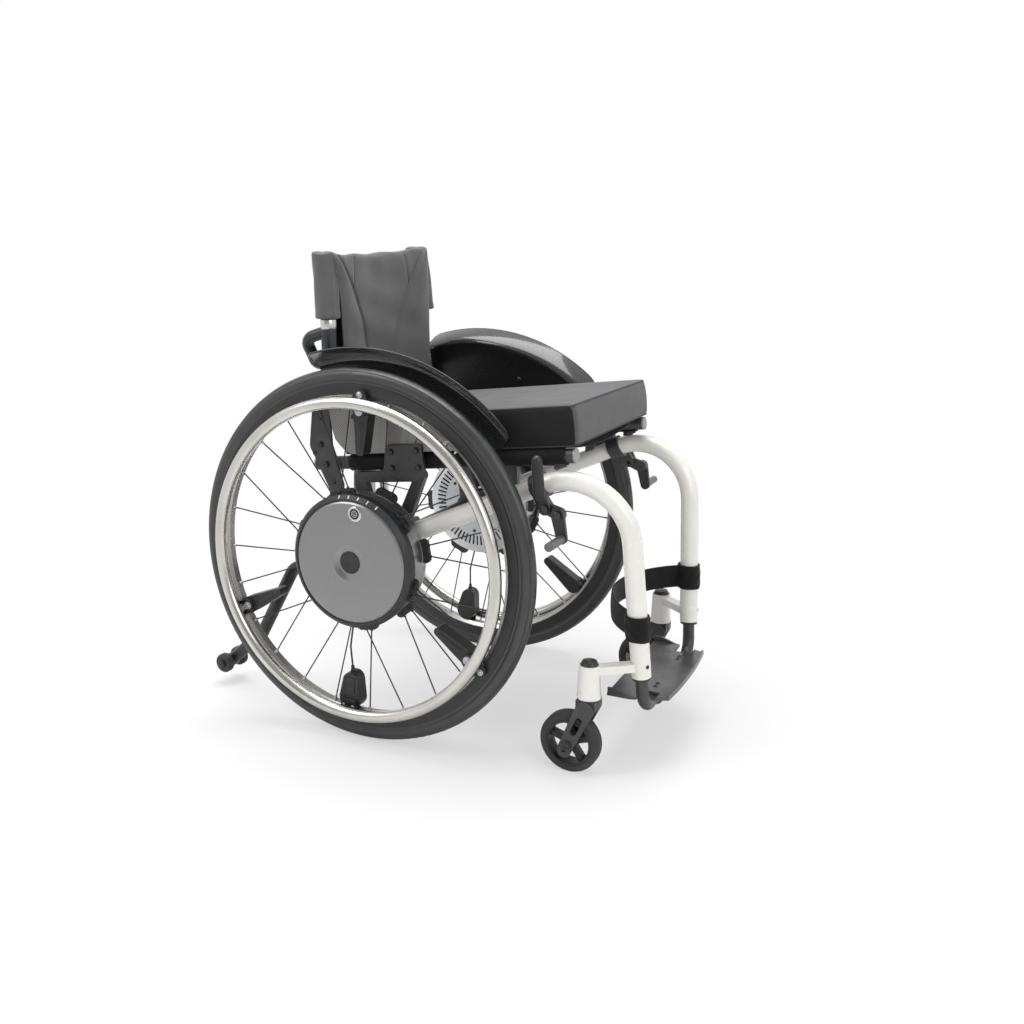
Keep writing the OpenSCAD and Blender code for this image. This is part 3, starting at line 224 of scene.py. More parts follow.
def carbon(name):
    """Diagonal twill of carbon tows under a clear coat; the flat panel's outer face, low down, is coloured pale as a
    painted reflection.
    """
    panel_face, panel_back, reflection_r, flare_r, tow = 0.1801, 0.1795, 0.274, 0.304, 430
    p = Paint(name, (0.012, 0.0125, 0.014), 0.3, 0.0, Coat_Weight=0.9, Coat_Roughness=0.09, Specular_IOR_Level=0.3)
    r, side, _, _ = around(p)
    x, _, z = p.axes()
    across = p.math("ADD", z, side)
    u = p.math("MULTIPLY", p.math("ADD", x, across), tow)
    v = p.math("MULTIPLY", p.math("SUBTRACT", x, across), tow)
    lines = p.math("POWER", p.math("PINGPONG", u, 1), 1.6)
    tows = p.math("PINGPONG", v, 1)
    weave = p.math("MULTIPLY", lines, p.math("ADD", p.math("MULTIPLY", tows, 0.35), 0.65))
    fibre = p.spread(p.noise(1800, 2, 0.5))
    low = p.tint(fibre, (0.0025, 0.0026, 0.003), (0.005, 0.0052, 0.006))
    high = p.tint(fibre, (0.042, 0.043, 0.046), (0.062, 0.064, 0.068))
    # Pale twill for the panel's outer face: a painted reflection
    pale = p.tint(weave, (0.15, 0.146, 0.14), (0.33, 0.322, 0.31))
    dull = p.tint(weave, (0.003, 0.0031, 0.0034), (0.0065, 0.0067, 0.007))
    # Where the painted reflection goes: the outer face of the panel, low down
    panel = p.math("MULTIPLY", p.math("GREATER_THAN", side, panel_face), p.math("LESS_THAN", r, reflection_r))
    inside = p.math("MULTIPLY", p.math("LESS_THAN", side, panel_back), p.math("LESS_THAN", r, flare_r))
    p.set("Coat Weight", p.math("SUBTRACT", 0.9, p.math("MULTIPLY", inside, 0.8)))
    dark = p.tint(inside, p.tint(weave, low, high), dull)
    p.set("Base Color", p.tint(panel, dark, pale))
    p.set("Roughness", p.math("ADD", p.math("MULTIPLY", weave, 0.12), 0.26))
    return p.bump(weave, 0.05, 0.0001).m


def hub_metal(name):
    """Black ring and lobes round a bright drum band."""
    drum_low, drum_high, drum_out = 0.0985, 0.1012, 0.0146
    p = Paint(name, (0.03, 0.031, 0.034), 0.42)
    r, side, _, _ = around(p)
    band = p.math("MULTIPLY", within(p, r, drum_low, drum_high), p.math("LESS_THAN", side, TRACK + drum_out))
    dark = p.tint(p.spread(p.noise(40, 3)), (0.016, 0.0165, 0.018), (0.026, 0.027, 0.029))
    bright = p.tint(p.spread(p.noise(26, 3)), (0.3, 0.302, 0.305), (0.42, 0.422, 0.425))
    p.set("Base Color", p.tint(band, dark, bright))
    p.set("Metallic", p.math("MULTIPLY", band, 0.9))
    p.set("Roughness", p.math("SUBTRACT", 0.44, p.math("MULTIPLY", band, 0.12)))
    return p.bump(p.noise(700, 2), 0.12, 0.0003, 0.0007).m


def cover_paint(name):
    """Satin metallic cover, with fine flakes and faint turning marks."""
    p = Paint(name, (0.245, 0.246, 0.25), 0.3, 0.8, Coat_Weight=0.1, Coat_Roughness=0.3)
    p.shade(p.noise(2600, 1, 0.5), 0.9, 1.12)
    p.wander(p.noise(70, 4), 0.27, 0.33)
    rings = p.math("SINE", p.math("MULTIPLY", around(p)[0], 5200))
    return p.bump(p.math("ADD", p.math("MULTIPLY", rings, 0.08), p.noise(900, 2)), 0.05, 0.0003, 0.0006).m


def tread(name):
    """Tyre rubber: fine cross grooves on the tread, smooth walls."""
    tread_r = 0.2942
    p = Paint(name, (0.024, 0.0244, 0.0255), 0.38, 0, Specular_IOR_Level=0.75)
    r, _, dx, dz = around(p)
    cuts = p.math("PINGPONG", p.math("MULTIPLY", p.math("ARCTAN2", dz, dx), 85), 1)
    grooves = p.math("MULTIPLY", p.math("GREATER_THAN", cuts, 0.72), p.math("GREATER_THAN", r, tread_r))
    height = p.math("SUBTRACT", p.noise(650, 3, 0.6), p.math("MULTIPLY", grooves, 1.6))
    p.shade(p.noise(14, 5), 0.8, 1.3)
    p.wander(p.noise(60, 4), 0.33, 0.44)
    return p.bump(height, 0.3, 0.0005).m


def split(name, dark, bright, rough, metal, pick):
    """Two finishes on one piece, told apart by place: pick gives one on the bright part. On the hub's back the dark
    part is painted shade inside the slots.
    """
    p = Paint(name, dark, rough[0])
    fac = pick(p)
    a = p.tint(p.spread(p.noise(35, 4)), tuple(c * 0.82 for c in dark), tuple(c * 1.2 for c in dark))
    b = p.tint(p.spread(p.noise(30, 4)), tuple(c * 0.93 for c in bright), tuple(c * 1.05 for c in bright))
    p.set("Base Color", p.tint(fac, a, b))
    p.set("Metallic", p.math("MULTIPLY", fac, metal))
    level = p.math("ADD", p.math("MULTIPLY", fac, rough[1] - rough[0]), rough[0])
    p.set("Roughness", p.math("ADD", p.spread(p.noise(150, 4), -0.05, 0.05), level))
    return p.bump(p.noise(800, 2), 0.1, 0.00004).m


def rim_bright(p):
    """The rim's inner band, within the dark outer part."""
    return p.math("LESS_THAN", around(p)[0], 0.2576)


def clear_of_painted_slot_shade(p):
    """Everything on the hub's back but the inside of its slots, which gets painted shade."""
    r, side, _, _ = around(p)
    deep = p.math("GREATER_THAN", side, TRACK - 0.0357)
    return p.math("SUBTRACT", 1, p.math("MULTIPLY", deep, within(p, r, 0.0655, 0.0845)))


def by_axis(axis, over):
    """Where a place lies further than over from the middle, along one axis."""
    return lambda p: p.math("GREATER_THAN", p.math("ABSOLUTE", p.axes()[axis]), over)


M = {
    "white_paint": lacquer("white_lacquer", (0.86, 0.84, 0.79)),
    "black_metal": coated("black_coating", (0.042, 0.0425, 0.0435), 0.36),
    "carbon": carbon("carbon_twill"),
    "webbing": cloth("nylon_webbing", (0.0045, 0.0045, 0.005), 0.8, 1500, 0.12, 0.6),
    "cushion_cover": cloth("cushion_fabric", (0.088, 0.088, 0.092), 0.7, 1900, 0.2, 0.25, (0.0035, 0.0035, 0.0045)),
    "back_cover": cloth("back_fabric", (0.118, 0.117, 0.121), 0.5, 2300, 0.15, 0.14),
    "back_tube": coated("dark_anodised", (0.045, 0.047, 0.05), 0.3, 1200, 0.0005, 0.5),
    "steel": metal("zinc_steel", (0.5, 0.51, 0.53), 0.3),
    "grey_plastic": split("cap_plastic", (0.022, 0.023, 0.025), (0.32, 0.322, 0.32), (0.4, 0.38), 0.0,
                          by_axis(2, 0.3)),
    "tyre": tread("tyre_rubber"),
    "rim_alloy": split("rim_alloy", (0.02, 0.0205, 0.022), (0.42, 0.405, 0.385), (0.4, 0.3), 0.95, rim_bright),
    "spoke_steel": metal("black_spoke", (0.07, 0.07, 0.075), 0.35),
    "hub_black": hub_metal("hub_shell"),
    # The slots' insides are near-black: painted shade
    "light_alloy": split("cast_alloy", (0.012, 0.012, 0.013), (0.62, 0.63, 0.64), (0.5, 0.4), 0.8, clear_of_painted_slot_shade),
    "battery": coated("battery_case", (0.05, 0.055, 0.06), 0.5),
    "cover_grey": cover_paint("hub_cover"),
    "socket_metal": metal("bright_socket", (0.6, 0.6, 0.59), 0.24),
    "black_plastic": coated("black_plastic", (0.014, 0.0145, 0.0155), 0.4, 1300, 0.0009, 0.0, 0.2),
    "push_rim_metal": metal("brushed_alloy", (0.6, 0.585, 0.55), 0.24, grain=160, strength=0.0),
    "caster_rubber": rubber("caster_rubber", (0.036, 0.037, 0.039)),
    "anti_tip_tube": coated("tube_coating", (0.018, 0.0185, 0.0195), 0.36),
    "roller_rubber": rubber("roller_rubber", (0.036, 0.036, 0.038)),
    "shoe_metal": split("shoe_finish", (0.022, 0.023, 0.025), (0.16, 0.165, 0.17), (0.42, 0.4), 0.6,
                        by_axis(1, 0.2019)),
    "plate_grey": coated("plate_plastic", (0.07, 0.072, 0.075), 0.2, 800, 0.0, 0.0, 0.02),
    "plate_satin": coated("plate_satin", (0.062, 0.0625, 0.064), 0.38, 900, 0.0006, 0.2),
    "rubber_trim": rubber("trim_rubber", (0.02, 0.02, 0.021), 0.55),
    "light_lens": coated("light_lens", (0.78, 0.79, 0.8), 0.25, 900, 0.0004, 0.0, 0.05),
    "steel_dark": metal("black_zinc", (0.075, 0.075, 0.08), 0.38),
    "dark_hole": coated("dark_recess", (0.006, 0.006, 0.0065), 0.6),
    "seam": cloth("seam_tape", (0.04, 0.041, 0.045), 0.8, 2600, 0.15, 0.3),
    "thread": cloth("sewing_thread", (0.1, 0.101, 0.106), 0.7, 3000, 0.1, 0.2),
    "seam_shade": cloth("seam_shadow", (0.02, 0.0202, 0.022), 0.85, 2600, 0.05, 0.2),
    "carbon_edge": coated("carbon_edge", (0.016, 0.0165, 0.018), 0.16, 900, 0.0, 0.0, 0.04),
}
# Nodes whose finish differs from that of their slot
OTHER = {"frame_bolts": "steel_dark", "back_brackets": "plate_satin", "axle_plates": "plate_satin"}
SLOT = {s["node"]: s["material_slot"] for s in frame["record"]["subparts"]}
for name, obj in NODES.items():
    obj.data.materials.clear()
    obj.data.materials.append(M[OTHER.get(name, SLOT[name])])


# Mesh helpers
def ring_angle(i, n):
    return 2 * math.pi * i / n


def soften(obj):
    sub = obj.modifiers.new("smooth", "SUBSURF")
    sub.levels = sub.render_levels = 1


def thicken(obj, thickness, offset=-1):
    solid = obj.modifiers.new("thickness", "SOLIDIFY")
    solid.thickness = thickness
    solid.offset = offset


def add(name, bm, mat, body, smooth=True, matrix=None):
    """Turns a bmesh into a piece that rides on a body."""
    mesh = bpy.data.meshes.new(name)
    bmesh.ops.recalc_face_normals(bm, faces=bm.faces)
    bm.to_mesh(mesh)
    bm.free()
    if matrix is not None:
        mesh.transform(matrix)
        if matrix.determinant() < 0:
            mesh.flip_normals()
    for f in mesh.polygons:
        f.use_smooth = smooth
    obj = bpy.data.objects.new(name, mesh)
    bpy.context.scene.collection.objects.link(obj)
    mesh.materials.append(mat)
    if smooth:
        mesh.set_sharp_from_angle(angle=math.radians(40))
    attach(obj, body)
    return obj


def grid(bm, rows, closed_u=False, closed_v=False):
    """Faces between rows of points; returns the vertices."""
    verts = [[bm.verts.new(p) for p in row] for row in rows]
    n, m = len(verts), len(verts[0])
    for i in range(n if closed_v else n - 1):
        for j in range(m if closed_u else m - 1):
            k, l = (i + 1) % n, (j + 1) % m
            bm.faces.new((verts[i][j], verts[i][l], verts[k][l], verts[k][j]))
    return verts


def tube(bm, path, r, sides=12, cap=True):
    """A round rod along points."""
    rings = []
    up = Vector((0, 0, 1))
    for i, p in enumerate(path):
        a = path[max(i - 1, 0)]
        b = path[min(i + 1, len(path) - 1)]
        t = (Vector(b) - Vector(a)).normalized()
        side = t.cross(up)
        if side.length < 1e-3:
            side = t.cross(Vector((0, 1, 0)))
        side.normalize()
        lift = side.cross(t)
        rings.append([Vector(p) + r * (math.cos(w) * side + math.sin(w) * lift)
                      for w in (ring_angle(k, sides) for k in range(sides))])
    verts = grid(bm, rings, closed_u=True)
    if cap:
        bm.faces.new(verts[0])
        bm.faces.new(verts[-1][::-1])


def lathe(bm, profile, matrix, sides=32):
    """Turns (radius, height) points round local Z; a radius of zero closes the end."""
    rings = []
    for r, z in profile:
        if r == 0:
            rings.append([bm.verts.new(matrix @ Vector((0, 0, z)))])
        else:
            rings.append([bm.verts.new(matrix @ Vector((r * math.cos(w), r * math.sin(w), z)))
                          for w in (ring_angle(k, sides) for k in range(sides))])
    for a, b in zip(rings, rings[1:]):
        for k in range(sides):
            l = (k + 1) % sides
            if len(a) == 1 and len(b) == 1:
                continue
            if len(a) == 1:
                bm.faces.new((a[0], b[k], b[l]))
            elif len(b) == 1:
                bm.faces.new((a[k], a[l], b[0]))
            else:
                bm.faces.new((a[k], a[l], b[l], b[k]))


def along(p, axis):
    """A frame at p with local Z along axis."""
    return Matrix.Translation(p) @ Vector(axis).to_track_quat("Z", "Y").to_matrix().to_4x4()


def socket_screw(bm, matrix, r, h):
    """Button-head screw with a hexagon socket."""
    lathe(bm, [(0, 0), (r, 0), (r, h * 0.35), (r * 0.9, h * 0.75), (r * 0.62, h), (r * 0.5, h),
               (r * 0.44, h * 0.45), (0, h * 0.45)], matrix, 18)


# Camera, at the photograph's angle
cam_data = bpy.data.cameras.new("camera")
cam = bpy.data.objects.new("camera", cam_data)
bpy.context.scene.collection.objects.link(cam)
cam.location = (0.8115, -1.5748, 0.7713)
back = Vector((0.432, -0.882, 0.186)).normalized()
cam.rotation_euler = back.to_track_quat("Z", "Y").to_euler()
cam_data.lens = 37.23
cam_data.sensor_width = 36
cam_data.shift_x = 0.03125
cam_data.shift_y = -0.0605
bpy.context.scene.camera = cam


# Soft goods
def rounded_loop(hx, hy, c, n=9):
    """Points round a rectangle with corners of radius c."""
    pts = []
    for q, (sx, sy) in enumerate(((1, 1), (-1, 1), (-1, -1), (1, -1))):
        for i in range(n):
            a = math.radians(q * 90 + i * 90 / (n - 1))
            pts.append((sx * (hx - c) + c * math.cos(a), sy * (hy - c) + c * math.sin(a)))
    return pts


def inflate(obj, voxel, pressure, cap, frames, pin):
    """Remeshes a closed form, lets it swell as cloth with its sewn points held, and caps how far each point moves."""
    mod = obj.modifiers.new("remesh", "REMESH")
    mod.mode = "VOXEL"
    mod.voxel_size = voxel
    mod.use_smooth_shade = True
    deps = bpy.context.evaluated_depsgraph_get()
    mesh = bpy.data.meshes.new_from_object(obj.evaluated_get(deps))
    obj.modifiers.clear()
    obj.data = mesh
    rest = [v.co.copy() for v in mesh.vertices]
    group = obj.vertex_groups.new(name="pin")
    group.add([v.index for v in mesh.vertices if pin(v.co)], 1.0, "REPLACE")
    cm = obj.modifiers.new("cloth", "CLOTH")
    cs = cm.settings
    cs.quality = 5
    cs.mass = 0.3
    cs.tension_stiffness = 20
    cs.compression_stiffness = 20
    cs.shear_stiffness = 8
    cs.bending_stiffness = 1.5
    cs.use_pressure = True
    cs.uniform_pressure_force = pressure
    cs.effector_weights.gravity = 0
    cs.vertex_group_mass = "pin"
    cm.point_cache.frame_start = 1
    cm.point_cache.frame_end = frames
    scene = bpy.context.scene
    for f in range(1, frames + 1):
        scene.frame_set(f)
    deps = bpy.context.evaluated_depsgraph_get()
    done = bpy.data.meshes.new_from_object(obj.evaluated_get(deps))
    obj.modifiers.clear()
    for v, p in zip(done.vertices, rest):
        d = v.co - p
        if d.length > cap:
            v.co = p + d * (cap / d.length)
    obj.data = done
    scene.frame_set(1)
    for f in done.polygons:
        f.use_smooth = True


def seat_cushion():
    """Foam block in a sewn cover: flat below, crowned on top, its four sides drawn in between the edges."""
    front, rear, hy = 0.0085, -0.3945, 0.1722
    mid, hx = (front + rear) / 2, (front - rear) / 2
    low, t, corner = 0.0132, 0.0622, 0.010
    levels = [(0.005, 0), (0.0012, 0.0012), (0.0, 0.004), (-0.0008, 0.013), (-0.0013, 0.022), (-0.0015, 0.031),
              (-0.0013, 0.041), (-0.0006, t - 0.012), (0.0, t - 0.006), (0.0008, t - 0.0022), (0.0035, t)]

    def drawn_in(x, y):
        """Each side runs in a little between its corners."""
        dx = 0.0022 * (1 - (y / hy) ** 2) if abs(x) > hx - 0.02 else 0
        dy = 0.0022 * (1 - (x / hx) ** 2) if abs(y) > hy - 0.02 else 0
        return mid + x - math.copysign(dx, x), y - math.copysign(dy, y)

    bm = bmesh.new()
    rows = []
    for inset, z in levels:
        rows.append([(*drawn_in(x, y), low + z) for x, y in rounded_loop(hx - inset, hy - inset, corner)])
    for share in (0.1, 0.22, 0.36, 0.52, 0.68, 0.84, 0.97):
        d = 0.0035 + share * (hy - 0.012)
        row = []
        for x, y in rounded_loop(hx - d, hy - d, corner * (1 - share) + 0.003):
            crown = 0.007 * (1 - abs(x / hx) ** 3) * (1 - abs(y / hy) ** 3)
            row.append((mid + x, y, low + t + crown))
        rows.append(row)
    verts = grid(bm, rows, closed_u=True)
    bm.faces.new(verts[0][::-1])
    bm.faces.new(verts[-1])
    obj = add("seat_cushion_cover", bm, M["cushion_cover"], "frame")

    def sewn(p):
        edge = max(abs(p.y) - hy, abs(p.x - mid) - hx) > -0.0075
        return p.z < low + 0.006 or (edge and p.z > low + t - 0.008)

    inflate(obj, voxel=0.005, pressure=1.4, cap=0.0028, frames=14, pin=sewn)
    obj.data.transform(SEAT)
    soften(obj)
    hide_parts("seat_cushion")
    tree = BVHTree.FromPolygons([v.co for v in obj.data.vertices], [p.vertices for p in obj.data.polygons])
    seam = bmesh.new()
    for inset, z, r in ((0.0012, t - 0.0012, 0.0012), (0.001, 0.0022, 0.0012)):
        loop = []
        for x, y in rounded_loop(hx - inset, hy - inset, corner, 14):
            hit = tree.find_nearest(SEAT @ Vector((*drawn_in(x, y), low + z)))
            loop.append(hit[0] + hit[1] * 0.0001)
        tube(seam, loop + loop[:1], r, 8, cap=False)
    add("seat_cushion_piping", seam, M["seam"], "frame")


seat_cushion()


def seam_y(t):
    """Where the back's two long seams run, from a narrow waist to the top corners."""
    return 0.043 + 0.1 * t ** 2.2


def dart_y(t):
    """Short darts run from the top edge down to the long seams."""
    return 0.0915 - 0.012 * (t - 0.72) / 0.28


# Back cover, in the back's own place: cane spacing, the pad's bottom and top edge, and the sleeves' radius
CANE_Y = 0.148
PAD_LOW, PAD_TOP, PAD_RISE, PAD_DIP = 0.012, 0.2262, 0.036, 0.0055
WRAP = 0.02


def pad_edge(t, s):
    """Where the pad's two side edges run: the right one swings in below the sleeve."""
    return 0.1295 + 0.004 * t + 0.026 * t ** 6 if s < 0 else 0.1525 + 0.006 * t


def pad_top(y):
    """The pad's top edge: it rises to the left and dips between the canes."""
    return PAD_TOP + PAD_RISE * y - PAD_DIP * (1 - (y / (CANE_Y + WRAP)) ** 2)


def lean(z):
    """How far the pad tips back above its middle, and forward below it."""
    return -0.05 * (z - 0.15) if z > 0.15 else 0.015 * (0.15 - z)


def pad_point(y, t, side):
    """A point of the back's front pad. y runs across, t up, side is 1 on the front and 0 behind."""
    over = max(0.0, abs(y) - CANE_Y)
    x = WRAP - 0.016 * max(0.0, 1 - (y / CANE_Y) ** 2) ** 2 - over ** 2 / WRAP
    ys = seam_y(t)
    d = abs(y) - ys
    edge = pad_edge(t, y)
    puff = 0.0
    if d < 0:
        puff += 0.0034 * (1 - (y / ys) ** 2) ** 0.6
    else:
        w = max(edge - ys, 1e-4)
        puff += 0.0036 * math.sin(math.pi * min(1, d / w)) ** 0.7
    puff -= 0.0032 * math.exp(-(d / 0.0036) ** 2)
    if t > 0.72:
        puff -= 0.002 * math.exp(-((abs(y) - dart_y(t)) / 0.003) ** 2) * min(1, (t - 0.72) / 0.05)
    fold = 0.002 * math.sin(y * 95 + 1.3 * math.sin(t * 9)) * max(0.0, (t - 0.72) / 0.28) ** 1.5
    slump = 0.0008 * math.sin(t * 21 + y * 30) * (1 - (y / edge) ** 4)
    z = PAD_LOW + t * (pad_top(y) - PAD_LOW) + 0.0011 * math.sin(y * 70) * t ** 8
    ends = min(1.0, (1 - (2 * t - 1) ** 24))
    round_off = 0.0022 * min(1.0, abs(y) / edge) ** 30
    x += lean(z)
    if side:
        return Vector((x + (puff + fold + slump) * ends - 0.0022 * (1 - ends) - round_off, y, z))
    thick = 0.0074 + (0.0012 if abs(y) < edge - 0.02 else 0)
    roll = 0.004 * max(0.0, (t - 0.86) / 0.14) ** 2 * max(0.0, 1 - (y / 0.135) ** 4)
    bow = 0.0012 * math.sin(math.pi * t) * (1 - (y / edge) ** 2)
    return Vector((x - thick + 0.0018 * (1 - ends) - bow - roll + round_off * 0.6, y, z))


def seam_path(place, t0, t1, n, out):
    """Points along a seam of the pad, a little proud of its face."""
    path = []
    for j in range(n + 1):
        t = t0 + (t1 - t0) * j / n
        path.append(BACK @ (pad_point(place(t), t, 1) + Vector((out, 0, 0))))
    return path


def back_upholstery():
    """Front pad, sleeves round the canes, a sheet behind standing for the rear panel, near-black as painted shade of
    the gap, and the seams, drawn as dark cords of painted shade, with piping and stitches on them.
    """
    nu, nt = 92, 60
    bm = bmesh.new()
    rows = []
    for j in range(nt + 1):
        t = j / nt
        ys = [-pad_edge(t, -1) + (pad_edge(t, -1) + pad_edge(t, 1)) * i / nu for i in range(nu + 1)]
        rows.append([pad_point(y, t, 1) for y in ys] + [pad_point(y, t, 0) for y in reversed(ys)])
    verts = grid(bm, rows, closed_u=True)
    n = nu + 1
    for row in (verts[0], verts[-1]):
        for i in range(nu):
            bm.faces.new((row[i], row[i + 1], row[2 * n - 2 - i], row[2 * n - 1 - i]))
    obj = add("back_pad_cover", bm, M["back_cover"], "backrest", matrix=BACK)
    soften(obj)
    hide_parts("back_upholstery")
    for side, s in SIDES.items():
        bm = bmesh.new()
        rows = []
        low, high = (0.1178, 0.2195) if s < 0 else (0.1178, 0.2275)
        heights = [(low + 0.03, 0.0146), (low, 0.0146), (low - 0.0004, 0.0175)]
        heights += [(low + (high - low) * j / 26, 0) for j in range(27)]
        heights += [(high + up, step) for up, step in
                    ((0.0014, -0.0012), (0.0024, -0.0034), (0.003, -0.0075), (0.0032, -0.013))]
        for z, r0 in heights:
            t = (z - low) / (high - low)
            ring = []
            for i in range(56):
                a = ring_angle(i, 56)
                deg = math.degrees(a)
                front = math.exp(-((deg if deg < 180 else deg - 360) / 26) ** 2)
                r = WRAP + 0.0004 - 0.0034 * front
                r += 0.0007 * math.sin(5 * a + 8 * t) * math.sin(math.pi * min(1, max(0, t)))
                r += 0.0016 * math.exp(-((deg - 95) / 34) ** 2) + 0.0005 * (1 if 0 <= t < 0.09 else 0)
                r -= 0.0022 * math.exp(-((deg - 290) / 40) ** 2)
                if s > 0:
                    r += 0.0078 * max(0, 1 - t) * math.exp(-((deg - 48) / 42) ** 2)
                if r0 > 0:
                    r = r0
                elif r0 < 0:
                    r = r + r0
                x = r * math.cos(a) + (lean(z) if r0 <= 0 else 0)
                ring.append(Vector((x, s * (CANE_Y + r * math.sin(a)), z + 0.0013 * math.sin(3 * a + 1) * max(0, t))))
            rows.append(ring)
        verts = grid(bm, rows, closed_u=True)
        bm.faces.new(verts[-1])
        sleeve = add(f"back_sleeve_{side}", bm, M["back_cover"], "backrest", matrix=BACK)
        soften(sleeve)
    half, foot, head = 0.1545, 0.03, 0.19
    # Sheet behind the pad between the canes, near-black: painted shade for the gap beside the sleeves
    shade_sheet = bmesh.new()
    grid(shade_sheet, [[Vector((-0.0035 - 0.012 * max(0.0, 1 - (y / CANE_Y) ** 2), y, z)) for y in
                   (half * (-1 + 2 * i / 40) for i in range(41))] for z in
                  (foot + (head - foot) * j / 20 for j in range(21))])
    sheet = add("back_shade_sheet", shade_sheet, M["webbing"], "backrest", matrix=BACK)
    thicken(sheet, 0.0012)
    seams, piping = bmesh.new(), bmesh.new()
    for s in (-1, 1):
        # Dark cords along the seams and darts: painted shade in the seam valleys
        tube(seams, seam_path(lambda t: s * seam_y(t), 0.02, 0.95, 60, 0.0003), 0.0009, 6)
        tube(seams, seam_path(lambda t: s * dart_y(t), 0.73, 0.98, 16, 0.0002), 0.0007, 6)
        tube(piping, seam_path(lambda t: s * pad_edge(t, s), 0.015, 0.985, 60, -0.0012), 0.0019, 10)
    add("back_seam_shadows", seams, M["seam_shade"], "backrest")
    add("back_piping", piping, M["back_cover"], "backrest")
    stitches = bmesh.new()
    for s in (-1, 1):
        for off in (-0.0042, 0.0042):
            for j in range(0, 112, 2):
                t = 0.03 + 0.93 * j / 118
                tube(stitches, seam_path(lambda q: s * (seam_y(q) + off), t, t + 0.0055, 1, 0.0004), 0.00045, 5)
    add("back_stitching", stitches, M["thread"], "backrest")


def seat_sling():
    """The sling hangs in a shallow curve and wraps under both rails."""
    half, rail_r = 0.162, 0.011
    r = rail_r + 0.0012
    path = []
    for i in range(13):
        a = math.radians(-120 + i * 200 / 12)
        path.append((-half - r * math.cos(a), r * math.sin(a)))
    mid = []
    y0, z0 = path[-1]
    for i in range(1, 40):
        s = -1 + 2 * i / 40
        y = s * abs(y0)
        mid.append((y, z0 - 0.0155 * (1 - s * s)))
    path = path + mid + [(-y, z) for y, z in reversed(path)]
    front, rear = -0.012, -0.384
    bm = bmesh.new()
    rows = []
    n = 44
    for j in range(n + 1):
        x = rear + (front - rear) * j / n
        ripple = 0.0006 * math.sin(j * 0.9)
        rows.append([Vector((x, y, z + ripple * (1 - abs(y / half) ** 2) if abs(y) < half else z)) for y, z in path])
    grid(bm, rows)
    obj = add("seat_sling_cloth", bm, M["webbing"], "frame", matrix=SEAT)
    thicken(obj, 0.0016, 1)
    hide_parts("seat_sling")


def upright(z):
    """Centre of the right front upright at a height, in metres."""
    k = (0.147 - z) / (0.489 - 0.147)
    return Vector((0.373 + k * 0.020, -0.1325 + k * 0.0375, z))


def calf_strap():
    """A band that bows back between the uprights, with a loop round each."""
    z0, h, r, t = 0.225, 0.038, 0.0158, 0.0022
    p = upright(z0)
    half, sag = -p.y, 0.080
    big = (half * half + sag * sag) / (2 * sag)
    cx = p.x - sag + big
    bm = bmesh.new()
    nz = 10
    sweep = math.asin(half / big)
    arc = []
    for i in range(49):
        a = math.pi - sweep + 2 * sweep * i / 48
        arc.append(Vector((cx + big * math.cos(a), big * math.sin(a) * -1, 0)))
    arc = [q for q in arc if abs(q.y) < half - r * 0.3]
    rows = []
    for j in range(nz + 1):
        z = z0 - h / 2 + h * j / nz
        bow = 0.0014 * math.sin(math.pi * j / nz)
        rows.append([Vector((q.x - bow * math.cos(q.y * 9), q.y, z)) for q in arc])
    grid(bm, rows)
    band = add("calf_band", bm, M["webbing"], "frame")
    thicken(band, t, 0)
    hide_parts("calf_strap")
    for side, s in SIDES.items():
        bm = bmesh.new()
        rows = []
        for j in range(15):
            z = z0 - h / 2 - 0.0005 + (h + 0.001) * j / 14
            q = upright(z)
            lift = 0.0007 * math.sin(math.pi * j / 14)
            ring = []
            for i in range(49):
                a = ring_angle(i, 48)
                over = 0.0013 if 0.25 < i / 48 < 0.62 else 0.0
                rr = r + t + lift + over + 0.0004 * math.sin(5 * a + j)
                ring.append(Vector((q.x + rr * math.cos(a), -s * (q.y + rr * math.sin(a)), z)))
            for i in range(48, -1, -1):
                a = ring_angle(i, 48)
                ring.append(Vector((q.x + (r - 0.0002) * math.cos(a), -s * (q.y + (r - 0.0002) * math.sin(a)), z)))
            rows.append(ring)
        verts = grid(bm, rows, closed_u=False)
        for row in (verts[0], verts[-1]):
            for i in range(48):
                bm.faces.new((row[i], row[i + 1], row[96 - i], row[97 - i]))
        bmesh.ops.remove_doubles(bm, verts=bm.verts, dist=0.00001)
        loop = add(f"calf_loop_{side}", bm, M["webbing"], "frame")


back_upholstery()
seat_sling()
calf_strap()


# Small parts on the wheels, in a wheel's own place: x forward, y up, z outboard
def polar(r, deg, z=0.0):
    a = math.radians(deg)
    return Vector((r * math.cos(a), r * math.sin(a), z))


def soft_box(bm, matrix, x, y, z, r, segments=2):
    """A block with rounded edges, standing on its local floor."""
    part = bmesh.new()
    bmesh.ops.create_cube(part, size=1)
    for v in part.verts:
        v.co = Vector((v.co.x * x, v.co.y * y, (v.co.z + 0.5) * z))
    bmesh.ops.bevel(part, geom=part.edges[:], offset=r, segments=segments, affect="EDGES")
    index = {}
    for v in part.verts:
        index[v] = bm.verts.new(matrix @ v.co)
    for f in part.faces:
        bm.faces.new([index[v] for v in f.verts])
    part.free()


def spoke_lines():
    """Hub and rim ends of all spokes of a wheel."""
    for i in range(6):
        t = 40 + 60 * i
        for s in (-1, 1):
            yield polar(0.107, t + 4 * s, 0.012 + 0.00154 * s), polar(0.255, t - 7.5 * s)
            yield polar(0.107, t + 30 + 4 * s, -0.02125), polar(0.255, t + 30 + 7.5 * s)


